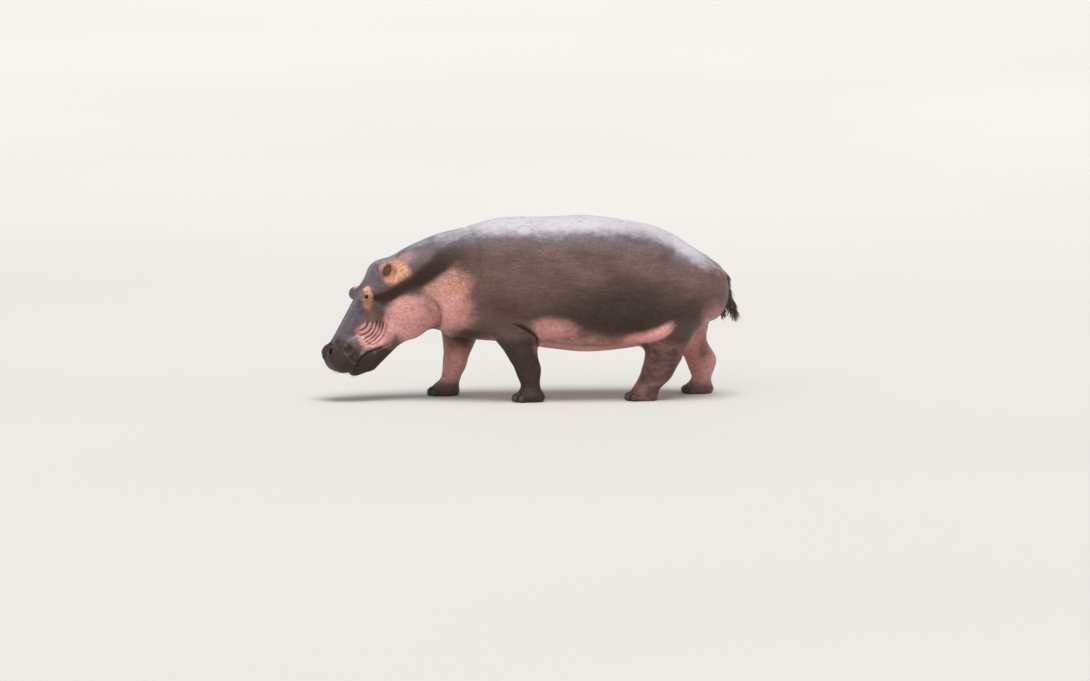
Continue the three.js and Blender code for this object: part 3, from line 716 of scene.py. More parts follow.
# %% Push the nostrils in
NOSTRIL_DEPTH = 34
sink = np.where(at_nostril & (slit < 1.2), NOSTRIL_DEPTH * (1 - ramp(slit, 0.35, 1.15)), 0)
inwards = np.tile(NOSTRIL_OUT, (len(S), 1))
inwards[:, 1] *= SIDE
placed = placed - (inwards * sink[:, None]) @ HEAD_AXES
print("nostrils:", round(float(sink.max())), "mm deep")

# %% Hollow the ears
for side in (1, -1):
    outwards_s = to_head(placed)
    outwards_s[:, 1] *= side
    local = in_ear(outwards_s, side)
    here = SIDE == side
    whole = here & near(local, (0, 0, 0), 96) & (local[:, 0] > -30)
    tip = ramp(local[:, 0], 0, 80)
    local[:, 1] = np.where(whole, local[:, 1] * (1 - 0.28 * tip), local[:, 1])
    local[:, 0] = np.where(whole, local[:, 0] + 13 * tip, local[:, 0])
    across = np.hypot((local[:, 0] - 6) / 74, local[:, 1] / (44 - 12 * tip))
    fold = 15 * np.exp(-((local[:, 1] + 11 - 0.15 * local[:, 0]) / 7) ** 2) * ramp(local[:, 0], -45, -10)
    rim = 11 * np.exp(-((across - 1.12) / 0.13) ** 2) - 9 * np.exp(-((across - 1.62) / 0.22) ** 2)
    shown = here & near(local, (0, 0, 0), 135) & (np.abs(local[:, 2]) < 60)
    local[:, 2] += np.where(shown, rim * ramp(local[:, 0], -70, -30), 0)
    cup_floor = 24 - 44 * np.sqrt(np.maximum(1 - across ** 2, 0)) + fold
    facing_out = (local[:, 2] > -12) & (local[:, 2] < 60)
    cup = here & (across < 1) & facing_out & near(local, (0, 0, 0), 90)
    local[:, 2] = np.where(cup, np.minimum(local[:, 2], np.maximum(cup_floor, -22)), local[:, 2])
    back = local @ ear_axes(side) + np.float32(EARS[side][0])
    back[:, 1] *= side
    placed = np.where((shown | cup)[:, None], from_head(back), placed)
placed[:, 2] = np.maximum(placed[:, 2], 0)
print("largest move:", round(float(np.abs(placed - hide_points).max()), 1), "mm")

# %% [markdown]
# ## The colours as masks
# A hippopotamus isn't one colour. The back is slate under a painted pale sheen with some dust, the
# flanks are brown, the belly and cheeks flush pink, and the skin round eyes and ears turns to ochre.
# Painted shade darkens folds, hollows and the lower flanks. Painting an image would need a UV map of
# the hide. Masks stored on its points need none: each is a number from 0 to 1 that the material reads,
# and mixes a colour by.

# %% Tools for masks
def patch(points, middle, size, turn=0, soft=0.35):
    """1 inside an ellipse, fading to 0 over its edge."""
    return 1 - ramp(oval(points, middle, size, turn), 1 - soft, 1 + soft)


def stripe(points, line, width, soft=0.5):
    """1 along a line, fading to 0 beside it."""
    d, _, _ = nearest(points, line)
    return 1 - ramp(d / width, 1 - soft, 1 + soft)


def cover(*masks):
    """Masks laid over each other."""
    left = np.ones(len(hide_points))
    for mask in masks:
        left *= 1 - np.clip(mask, 0, 1)
    return 1 - left

# %% The regions of the body
flanks = ramp(np.abs(Y), 60, 180)
sides = head_share * ramp(S, 70, 130)
leg_low = ramp(-Z, -620, -470) * (1 - head_share)
inner_side = ramp(305 - np.abs(Y), -40, 40)
upward = ramp(hide_normals[:, 2], 0.45, 0.85)
BELLY_EDGE = curve_through([-100, 25, 323, 664, 1005, 1192, 1420], [640, 715, 655, 592, 592, 660, 640])
belly = ramp(BELLY_EDGE(X) - Z, -70, 110) * ramp(X, -60, 60) * ramp(-X, -1400, -1230) * ramp(Z, 330, 440)
belly *= 1 - ramp(X, 850, 950) * ramp(-above_flank, -10, 30) * flanks
jaw = head_share * ramp(U, 520, 600) * ramp(-above_mouth, -6, 14)
muzzle = head_share * cover(ramp(U, 620, 720) * ramp(V, -250, -170), jaw)
snout = head_share * ramp(U, 170, 300) * ramp(V, -110, -30)

# %% Blush: bare pink skin
cheek = sides * patch(face_view, (255, -415), (240, 175), -62, 0.5)
throat_side = ramp(np.abs(Y), 80, 160) * patch(side_view, (-700, 890), (190, 330), 20, 0.7)
jowls = ramp(np.abs(Y), 60, 120) * patch(side_view, (-680, 700), (110, 190), 12, 0.6)
behind_ear = ramp(np.abs(Y), 60, 120) * patch(side_view, (-1060, 1195), (120, 60), 30, 0.8)
hinge = sides * patch(face_view, (420, -292), (130, 50), -25, 0.6)
pleat_pink = sides * patch(face_view, (530, -192), (108, 112), 0, 0.4)
pleat_pink *= ramp(above_mouth, -3, 8)
mouth_corner = sides * stripe(face_view, [(550, -336), (580, -312), (604, -286)], 11, 1.0)
brow = sides * patch(face_view, (205, 28), (62, 36), -40, 0.4)
# the flank fold's ridge laid pale pink: partly its own pink, partly a painted highlight on the ridge
fold_pink_highlight = flanks * stripe(side_view, [(830, 490), (960, 525), (1080, 570), (1180, 620)], 60, 0.9)
fold_pink_highlight *= ramp(above_flank, -20, 10) * (1 - ramp(X, 1060, 1230))
armpit_pink = flanks * patch(side_view, (150, 640), (190, 90), 0, 0.8)
rump_pink = patch(side_view, (1560, 660), (150, 190), 10, 0.6)
blush = cover(
    0.5 * belly, 0.85 * fold_pink_highlight, 0.5 * armpit_pink, 0.5 * rump_pink,
    0.72 * leg_low * inner_side * ramp(Z, 60, 160), 0.6 * hinge, 0.5 * behind_ear,
    0.95 * cheek, 0.7 * throat_side, 0.8 * jowls, 0.3 * leg_low * ramp(X, 700, 900),
)
blush = cover(blush * (1 - 0.9 * muzzle) * (1 - snout), pleat_pink, 0.35 * mouth_corner, 0.75 * brow)

# %% Dark hide and shade: the darkest hide, with painted shade on the lower flank, in the hip hollow, behind the pleats and high on the far legs
upper_neck_shade = ramp(np.abs(Y), 60, 160) * patch(side_view, (-640, 1000), (150, 200), 15, 0.8)
# a dark band from the eye down the neck: dark skin, and painted shade of the groove along it
BAND = [(-1296, 875), (-1194, 892), (-1083, 960), (-955, 1020), (-819, 1115), (-720, 1190), (-650, 1240)]
band_gap, band_along, _ = nearest(side_view, BAND)
band_width = np.interp(band_along, [0, 0.2, 0.5, 0.8, 1], [32, 52, 66, 86, 74])
dark_band_and_shade = ramp(np.abs(Y), 60, 150) * (1 - ramp(band_gap / band_width, 0.3, 1.6))
dark_band_and_shade *= 1 - 0.65 * ramp(band_along, 0.68, 1)
blush *= 1 - 0.95 * dark_band_and_shade
neck_dusk = ramp(np.abs(Y), 60, 150) * patch(side_view, (-700, 1215), (230, 130), 30, 0.9)
behind_eye = sides * patch(face_view, (190, -180), (65, 85), -40, 0.5)
cheek_shadow = sides * patch(face_view, (408, -215), (80, 55), -35, 0.7)
# the lower flank darker: painted shade where the side turns under, and dirt
low_flank_shade_and_dirt = flanks * patch(side_view, (700, 750), (800, 260), 0, 0.8) * body_share
# painted shade high on the far legs, under the body
far_elbow_shade = patch(side_view, (-560, 530), (150, 120), 0, 1.0)
far_legs_shade = inner_side * cover(far_elbow_shade, 0.6 * patch(side_view, (1530, 420), (60, 120), 0, 0.8))
# painted shade in the hollow before the hip
hip_hollow_shade = flanks * patch(side_view, (895, 1375), (130, 60), -15, 0.8)
dark_hide_and_shade = cover(
    dark_band_and_shade, 0.5 * neck_dusk, 0.95 * behind_eye, 0.75 * muzzle, 0.85 * jaw, 0.35 * snout,
    0.75 * leg_low * (1 - inner_side), 0.8 * low_flank_shade_and_dirt, 0.5 * hip_hollow_shade, 0.2 * cheek_shadow,
    0.5 * ramp(-Z, -110, -40), 0.75 * far_legs_shade, 0.5 * upper_neck_shade,
)
blush *= 1 - 0.8 * far_legs_shade
dark_hide_and_shade *= 1 - 0.85 * pleat_pink

# %% Slate: the cool grey of back, crown and snout
nape = ramp(np.abs(Y), 40, 100) * patch(side_view, (-960, 1255), (260, 125), 30, 0.8)
slate = cover(
    # on the muzzle's upper faces slate is a painted highlight of the wet skin
    upward, 0.85 * nape, 0.8 * snout, 0.8 * muzzle * ramp(V, -120, -20),
    head_share * ramp(-U, -240, -80) * ramp(V, -140, -30), 0.5 * flanks * ramp(Z, 1050, 1400) * body_share,
)

# %% Ochre: orange skin round eyes, ears and upper neck
ear_ring = sides * patch(face_view, (-30, -115), (112, 125), 20, 0.6)
eye_ring = np.where(on_orbit, 1 - ramp(eye_span, 30, 92), 0) * (0.45 + 0.55 * below_eye)
eye_bag = sides * patch(face_view, (300, -42), (66, 40), -35, 0.9)
upper_neck = ramp(np.abs(Y), 60, 160) * patch(side_view, (-700, 990), (210, 150), 25, 0.8)
ochre = cover(0.95 * ear_ring, 0.9 * eye_ring, 0.7 * eye_bag, 0.5 * upper_neck) * (1 - 0.9 * dark_band_and_shade)
dark_hide_and_shade *= 1 - 0.95 * cover(ear_ring, eye_ring, eye_bag)


# %% Crease shade: painted shade, deep brown, in folds, hollows, nostrils, ear cups and between the toes
def along_fold(line, width):
    """1 on a fold of the body, dying away beside it."""
    return np.exp(-(nearest(side_view, line)[0] / width) ** 2)


# ear cups turn dark, partly their own brown and partly painted shade of the hollow; a ring round each ear's
# base is painted shadow
ear_cups = np.zeros(len(hide_points))
ear_base_shadow = np.zeros(len(hide_points))
for side in (1, -1):
    local = in_ear(mirrored, side)
    cup_span = np.hypot((local[:, 0] - 4) / 66, local[:, 1] / 43)
    inside_cup = (1 - ramp(cup_span, 0.7, 1.0)) * ramp(local[:, 2], -6, 6)
    ear_cups += (SIDE == side) * inside_cup * near(local, (0, 0, 0), 95)
    ear_span = np.hypot(local[:, 0] / 80, local[:, 1] / 52)
    ear_base_shadow += (SIDE == side) * np.exp(-((ear_span - 1.3) / 0.14) ** 2) * near(local, (0, 0, 0), 130)
# painted shade in the hollow behind the nostril
muzzle_hollow_shade = sides * patch(face_view, (717, -66), (40, 30), -20, 0.8)
crease_shade = cover(
    0.62 * ear_cups, 0.45 * ear_base_shadow, 0.55 * muzzle_hollow_shade, 0.9 * mouth_fade * furrow * sides,
    0.95 * sides * pleats_share * (1 - pleat), 0.5 * outer * along_fold(JOWL_FRONT, 14),
    0.8 * dark_band_and_shade ** 2, 0.75 * NEAR * outer * along_fold(ELBOW_FOLD, 15),
    np.where(at_nostril, 1 - ramp(slit, 0.8, 1.3), 0),
    np.where(on_orbit, 0.7 * below_eye * np.clip(bags, 0, 1), 0), 0.7 * toe_gap,
)

# %% Pale marks and sheen: painted sheen on upward faces with some dust, painted highlights on bridge, crown, pleat ridges and upper cheek, and a pale scratch and lip pads
SHEEN_EDGE = curve_through(
    [-1250, -1100, -870, -460, -100, 240, 580, 920, 1100, 1260, 1431, 1600],
    [1290, 1300, 1375, 1480, 1488, 1492, 1498, 1484, 1415, 1318, 1175, 1000],
)
above_edge = Z - SHEEN_EDGE(X)
back_sheen_and_dust = ramp(hide_normals[:, 2], 0.1, 0.66) * body_share * cover(
    ramp(above_edge, -130, 70) * ramp(X, -760, -250), 0.6 * ramp(above_edge, -210, 10),
)
# a painted highlight along the top edge of the nose bridge
bridge_highlight = ramp(hide_normals @ HEAD_AXES[2], 0.72, 0.98) * ramp(60 - S, -20, 50)
scratch = sides * stripe(face_view, [(760, -55), (782, -108), (803, -156), (790, -186)], 5, 0.7)
upper_pad = patch(face_view, (680, -190), (85, 30), 0, 0.8)
lower_pad = patch(face_view, (615, -258), (60, 26), -40, 0.8)
cheek_light = sides * patch(face_view, (90, -395), (120, 110), 0, 0.9)
crown_sheen = 0.35 * head_share * ramp(hide_normals[:, 2], 0.6, 0.9)
pale_marks_and_sheen = cover(
    back_sheen_and_dust * (1 - 0.55 * ramp(X, 1250, 1560)), 0.25 * head_share * bridge_highlight, crown_sheen,
    0.3 * scratch, 0.3 * sides * cover(upper_pad, lower_pad),
    # painted highlights on the pleat ridges and the upper cheek
    cover(0.3 * pleats_share * pleat, 0.25 * cheek_light),
)

# %% Damp: glossy wet rims
damp = cover(
    np.where(on_orbit, 1 - ramp(opening, 1.05, 1.3), 0),
    sides * stripe(face_view, [(535, -345), (570, -318), (605, -278)], 11),
    np.where(at_nostril, 1 - ramp(slit, 0.9, 1.8), 0),
)
MASKS = {
    "slate": slate, "dark_hide_and_shade": dark_hide_and_shade, "blush": blush, "ochre": ochre,
    "crease_shade": crease_shade, "pale_marks_and_sheen": pale_marks_and_sheen, "damp": damp,
}
for name, mask in MASKS.items():
    print(name, "covers", round(float(mask.mean()) * 100), "% of the points")

# %% [markdown]
# ## Finishing the hide
# The mesh is written in metres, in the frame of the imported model, and replaces every flesh solid.

# %% Make the hide
left_eye = np.array(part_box("eye_left")).mean(0)
SHIFT = left_eye - from_head(EYE_AT) / 1000
print("from the animal's frame to the model's:", SHIFT.round(4))


def in_metres(P):
    return np.asarray(P) / 1000 + SHIFT


def store(mesh, name, kind, values):
    """Keeps a number or a vector for each point on the mesh, for a material or a tree to read."""
    field = "value" if kind == "FLOAT" else "vector"
    mesh.attributes.new(name, kind, "POINT").data.foreach_set(field, values.astype(np.float32).ravel())


def finished(shape, name, places):
    """A smoothly shaded mesh out of a bmesh, its points put at their places in millimetres."""
    for vert, place in zip(shape.verts, in_metres(places).tolist()):
        vert.co = place
    bmesh.ops.recalc_face_normals(shape, faces=shape.faces)
    mesh = bpy.data.meshes.new(name)
    shape.to_mesh(mesh)
    shape.free()
    mesh.polygons.foreach_set("use_smooth", np.ones(len(mesh.polygons), bool))
    return mesh


def new_object(name, mesh, material_slot, *nodes):
    """Links a finished mesh, makes it ride on the body and stand for CAD nodes."""
    piece = bpy.data.objects.new(name, mesh)
    scene.collection.objects.link(piece)
    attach(piece, "root")
    if nodes:
        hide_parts(*nodes)
    return piece


hide_mesh = finished(net, "hide", placed)
for name, mask in MASKS.items():
    store(hide_mesh, name, "FLOAT", np.clip(mask, 0, 1))
FLESH_NODES = [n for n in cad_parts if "nail" not in n and not n.startswith("eye")]
new_object("hide", hide_mesh, "body_skin", *FLESH_NODES)
hide_mesh.calc_loop_triangles()
print("hide:", len(hide_mesh.loop_triangles), "triangles for", len(FLESH_NODES), "solids")

# %% [markdown]
# ## Materials
# A few helpers make every material. One turns a colour from its usual hex form to the linear
# numbers that Blender works with, and one adds a node with its settings and links. The last two are
# steps of painting: how strongly a pattern shows, and one colour laid over another by that share.

# %% Material helpers
def linear(hex_colour):
    """An sRGB hex colour as a linear RGBA."""
    parts = [int(hex_colour[i:i + 2], 16) / 255 for i in (1, 3, 5)]
    return tuple(c / 12.92 if c <= 0.04045 else ((c + 0.055) / 1.055) ** 2.4 for c in parts) + (1,)


def feed(node, inputs):
    """Gives a node its inputs: values and hex colours are set, sockets and other nodes are linked."""
    for key, value in inputs.items():
        if isinstance(value, bpy.types.Node):
            value = next(socket for socket in value.outputs if socket.enabled)
        if isinstance(value, bpy.types.NodeSocket):
            node.id_data.links.new(value, node.inputs[key])
        elif isinstance(value, str) and value.startswith("#"):
            node.inputs[key].default_value = linear(value)
        else:
            node.inputs[key].default_value = value


def add(tree, kind, inputs=None, **settings):
    """Adds a node of any kind, with its settings and its inputs."""
    node = tree.nodes.new(kind)
    for name, value in settings.items():
        setattr(node, name, value)
    feed(node, inputs or {})
    return node


def new_material(name):
    material = bpy.data.materials.new(name)
    material.use_nodes = True
    tree = material.node_tree
    tree.nodes.clear()
    shader = add(tree, "ShaderNodeBsdfPrincipled")
    add(tree, "ShaderNodeOutputMaterial", {"Surface": shader})
    return material, tree, shader


def share_of(tree, *ranges):
    """How strongly something shows, from 0 to 1: patterns brought into a range and multiplied.

    A range is (pattern, low, high), for 0 at low and 1 at high, or has two more numbers, which
    stand for that 0 and 1."""
    whole = 1.0
    for pattern, low, high, *ends in ranges:
        least, most = ends or (0.0, 1.0)
        part = add(tree, "ShaderNodeMapRange", {
            "Value": pattern, "From Min": low, "From Max": high, "To Min": least, "To Max": most,
        }, interpolation_type="SMOOTHSTEP")
        whole = add(tree, "ShaderNodeMath", {0: whole, 1: part}, operation="MULTIPLY")
    return whole


def lay(tree, under, over, share, weight=1.0):
    """One colour over another, as far as the share times the weight says."""
    cover_share = add(tree, "ShaderNodeMath", {0: share, 1: weight}, operation="MULTIPLY")
    return add(tree, "ShaderNodeMix", {0: cover_share, 6: under, 7: over}, data_type="RGBA")


print("mid grey is", round(linear("#808080")[0], 3), "in linear light")

# %% [markdown]
# ### Bare hide
# The hide is nearly hairless skin, some five centimetres thick, with a mesh of fine furrows that
# hold its oily sweat. It is softly glossy when dry. Its colours come from the masks. Noise breaks
# up their edges, strews dark blots of 17 mm over the pink and freckles of 8 mm over the orange.
# The furrows are bump: a Voronoi net of 11 mm cells, level wrinkles some 10 mm apart, pores of
# 5 mm and slack folds 5 to 15 cm long.

# %% The hide's pattern
hide_material, tree, shader = new_material("bare hide")


def scaled(tree, sizes_mm):
    """Object coordinates in which one unit is the given size along x, y and z."""
    place = add(tree, "ShaderNodeTexCoord").outputs["Object"]
    return add(tree, "ShaderNodeMapping", {"Vector": place, "Scale": [1000 / size for size in sizes_mm]})


def lumps(tree, sizes_mm, detail=3.0, roughness=0.55):
    """Cloudy noise whose lumps have the given size along x, y and z."""
    return add(tree, "ShaderNodeTexNoise", {
        "Vector": scaled(tree, sizes_mm), "Scale": 1.0, "Detail": detail, "Roughness": roughness,
    })


def mask_named(name, grain=0.5):
    """A mask of the hide with its edge broken up by noise."""
    value = add(tree, "ShaderNodeAttribute", attribute_name=name).outputs["Fac"]
    either_way = add(tree, "ShaderNodeMath", {0: edge_noise, 1: 0.5}, operation="SUBTRACT")
    broken = add(tree, "ShaderNodeMath", {0: either_way, 1: grain, 2: value}, operation="MULTIPLY_ADD")
    return share_of(tree, (broken, 0.12, 0.88))


edge_noise = lumps(tree, (110, 110, 80), detail=6.0, roughness=0.7)
clouds = lumps(tree, (420, 420, 260), detail=4.0)
mottle = lumps(tree, (24, 24, 20), detail=6.0, roughness=0.65)
blots = lumps(tree, (17, 17, 13), detail=3.0, roughness=0.6)
specks = share_of(tree, (blots, 0.60, 0.68), (lumps(tree, (130, 130, 130)), 0.42, 0.62))
freckle_grain = lumps(tree, (8, 8, 8), detail=2.0)
freckles = share_of(tree, (freckle_grain, 0.54, 0.66), (clouds, 0.3, 0.6, 0.3, 1.0))
print("hide pattern:", len(tree.nodes), "nodes")

# %% The hide's colours
flank = lay(tree, "#584038", "#755b55", share_of(tree, (clouds, 0.3, 0.7)))
flank = lay(tree, flank, "#6d636b", mask_named("slate"))
flank = lay(tree, flank, "#43352f", share_of(tree, (mottle, 0.45, 0.7)), 0.45)
dark = lay(tree, "#2b201c", "#40302a", share_of(tree, (mottle, 0.35, 0.65)))
# the darkest hide, also laid as painted shade on the lower flank, in hollows and high on the far legs
colour = lay(tree, flank, dark, mask_named("dark_hide_and_shade"), 0.92)
pink = lay(tree, "#e8aaa4", "#bf817b", share_of(tree, (mottle, 0.32, 0.8)))
pink = lay(tree, pink, "#a56a63", share_of(tree, (clouds, 0.42, 0.7)), 0.3)
pink = lay(tree, pink, "#55383a", specks, 0.75)
blush_share = mask_named("blush", 0.7)
colour = lay(tree, colour, pink, blush_share, 0.95)
orange = lay(tree, "#f2b498", "#c08462", share_of(tree, (mottle, 0.3, 0.7)))
orange = lay(tree, orange, "#7a4f3a", freckles, 0.5)
orange = lay(tree, orange, "#5a3c30", specks, 0.8)
colour = lay(tree, colour, orange, mask_named("ochre"), 0.9)
uneven = share_of(tree, (clouds, 0.3, 0.6, 0.62, 0.86))
# the pale colour: painted sheen and highlights, with some dust, a scratch and pale lip pads
colour = lay(tree, colour, "#d3cdd4", mask_named("pale_marks_and_sheen", 0.8), uneven)
# painted shade, deep brown, in the creases and hollows
colour = lay(tree, colour, "#2c1712", mask_named("crease_shade", 0.2), 0.9)
print("hide colours:", len(tree.nodes), "nodes")

# %% The hide's relief and gloss
cells = add(tree, "ShaderNodeTexVoronoi", {
    "Vector": scaled(tree, (11, 11, 9)), "Scale": 1.0,
}, feature="DISTANCE_TO_EDGE")
furrows = share_of(tree, (cells, 0.0, 0.16))
wrinkles = lumps(tree, (60, 45, 10), detail=5.0, roughness=0.65)
pores = lumps(tree, (5, 5, 5), detail=2.0)
slack = lumps(tree, (150, 100, 48), detail=5.0, roughness=0.5)
relief = 0.0
for layer, height in ((furrows, 0.10), (wrinkles, 0.8), (pores, 0.25), (slack, 2.4)):
    relief = add(tree, "ShaderNodeMath", {0: layer, 1: height, 2: relief}, operation="MULTIPLY_ADD")
off_blush = add(tree, "ShaderNodeMath", {0: blush_share, 1: -0.7, 2: 1.0}, operation="MULTIPLY_ADD")
fine_lines = share_of(tree, (wrinkles, 0.48, 0.34), (clouds, 0.35, 0.6, 0.06, 0.34))
wet = add(tree, "ShaderNodeAttribute", attribute_name="damp").outputs["Fac"]
feed(shader, {
    "Base Color": lay(tree, colour, "#2e2422", fine_lines, off_blush),
    "Normal": add(tree, "ShaderNodeBump", {"Height": relief, "Strength": 0.7, "Distance": 0.008}),
    "Roughness": share_of(tree, (mottle, 0.3, 0.7, 0.42, 0.56), (wet, 0.0, 1.0, 1.0, 0.35)),
    "IOR": 1.42, "Specular IOR Level": 0.3, "Subsurface Weight": 0.06,
    "Subsurface Radius": (0.02, 0.008, 0.005), "Subsurface Scale": 1.0,
})
hide_mesh.materials.append(hide_material)
print("bare hide:", len(tree.nodes), "nodes")

# %% [markdown]
# ## The eyeballs
# A grazing animal's eye is a wet brown ball with a clear bulge, the cornea, over the iris. One
# closed mesh carries it: a ball drawn out a little towards the gaze. How far each point is from the
# gaze axis, in degrees, is stored on the mesh, and the material rings the pupil, the iris and the
# white by it.

# %% Eye material
eye_material, tree, shader = new_material("wet eye")
turn_off_gaze = add(tree, "ShaderNodeAttribute", attribute_name="off_gaze").outputs["Fac"]
threads = add(tree, "ShaderNodeTexNoise", {"Scale": 260.0, "Detail": 4.0})
iris = lay(tree, "#43260f", "#7d4a1c", share_of(tree, (threads, 0.35, 0.65)))
iris = lay(tree, iris, "#24150b", share_of(tree, (turn_off_gaze, 34.0, 50.0)))
white = lay(tree, "#7d5f50", "#5d4034", share_of(tree, (threads, 0.4, 0.7)))
eye_colour = lay(tree, iris, white, share_of(tree, (turn_off_gaze, 48.0, 54.0)))
eye_colour = lay(tree, eye_colour, "#060505", share_of(tree, (turn_off_gaze, 30.0, 26.0)))
feed(shader, {"Base Color": eye_colour, "Roughness": 0.1, "IOR": 1.34})
print("wet eye:", len(tree.nodes), "nodes")

# %% Eye mesh
CORNEA_BULGE = 0.055
BALL_GAP = 0.4


def eyeball(name, side):
    """A ball that swells towards the gaze, just clear of the lids."""
    shape = bmesh.new()
    bmesh.ops.create_uvsphere(shape, u_segments=56, v_segments=40, radius=1)
    points = np.array([v.co for v in shape.verts])
    off_gaze = np.degrees(np.arccos(np.clip(points[:, 2], -1, 1)))
    bulge = 1 + CORNEA_BULGE * (1 - ramp(off_gaze, 18, 40))
    places = EYE_AT + (points * bulge[:, None] * (EYE_RADIUS - BALL_GAP)) @ EYE_AXES
    places[:, 1] *= side
    mesh = finished(shape, name, from_head(places))
    store(mesh, "off_gaze", "FLOAT", off_gaze)
    mesh.materials.append(eye_material)
    return mesh


for node, side in (("eye_left", 1), ("eye_right", -1)):
    ball_mesh = eyeball(node + "ball", side)
    new_object(node + "ball", ball_mesh, "eye", node)
print("eyeballs:", len(ball_mesh.polygons), "faces each")

# %% [markdown]
# ## Nails
# Each toe ends in a short broad nail of dark horn, worn to a blunt edge by stony ground. It is an
# egg squared off at the front and flattened under, with rings of growth across it.

# %% Nail material
horn_material, tree, shader = new_material("nail horn")
rings = lumps(tree, (40, 40, 3.2), detail=2.0)
stain = lumps(tree, (16, 16, 16), detail=3.0)
horn = lay(tree, "#2e2724", "#4d433c", share_of(tree, (rings, 0.35, 0.65)))
feed(shader, {
    "Base Color": lay(tree, horn, "#574c43", share_of(tree, (stain, 0.5, 0.75)), 0.6),
    "Roughness": share_of(tree, (stain, 0.3, 0.7, 0.5, 0.65)),
    "Normal": add(tree, "ShaderNodeBump", {"Height": rings, "Strength": 0.5, "Distance": 0.002}),
    "IOR": 1.54,
})
print("nail horn:", len(tree.nodes), "nodes")

# %% Nail meshes
NAIL_SIZE = (23, 27, 25)
NAIL_SQUARENESS = 2.6


def nail(name, x0, y0, z0, angle):
    """A squared egg, hollowed behind and cut flat under."""
    shape = bmesh.new()
    bmesh.ops.create_cube(shape, size=2)
    bmesh.ops.subdivide_edges(shape, edges=shape.edges, cuts=9, use_grid_fill=True)
    points = np.array([v.co for v in shape.verts])
    n = NAIL_SQUARENESS
    points /= ((np.abs(points) ** n).sum(1) ** (1 / n))[:, None]
    points *= NAIL_SIZE
    points[:, 0] += 2.5 * ramp(-points[:, 2], 0, 22)
    points[:, 0] -= 0.006 * points[:, 1] ** 2
    points[:, 2] = np.maximum(points[:, 2], -25.5)
    c = cos(angle)
    s = sin(angle)
    mesh = finished(shape, name, np.stack([
        x0 + points[:, 0] * c - points[:, 1] * s,
        y0 + points[:, 0] * s + points[:, 1] * c,
        z0 + points[:, 2],
    ], 1))
    mesh.materials.append(horn_material)
    return mesh


nail_names = [leg + "_nail_" + str(i + 1) for leg in LEGS for i in range(4)]
for node, spot in zip(nail_names, NAIL_MIDDLES):
    new_object(node + "_horn", nail(node + "_horn", *spot), "nail_horn", node)
print("nails:", len(nail_names))

# %% [markdown]
# ## Bristles
# The hide is bare but for stiff bristles on the lips, a fringe on the ears and a flat brush on the
# tail. Hair curves wouldn't leave Blender as a mesh, so each bristle is a thin tapered tube. One
# Geometry Nodes tree makes it once, stands a copy on every root, turned the way it grows, and
# realises the copies. The roots are points of the hide, picked with a fixed seed.

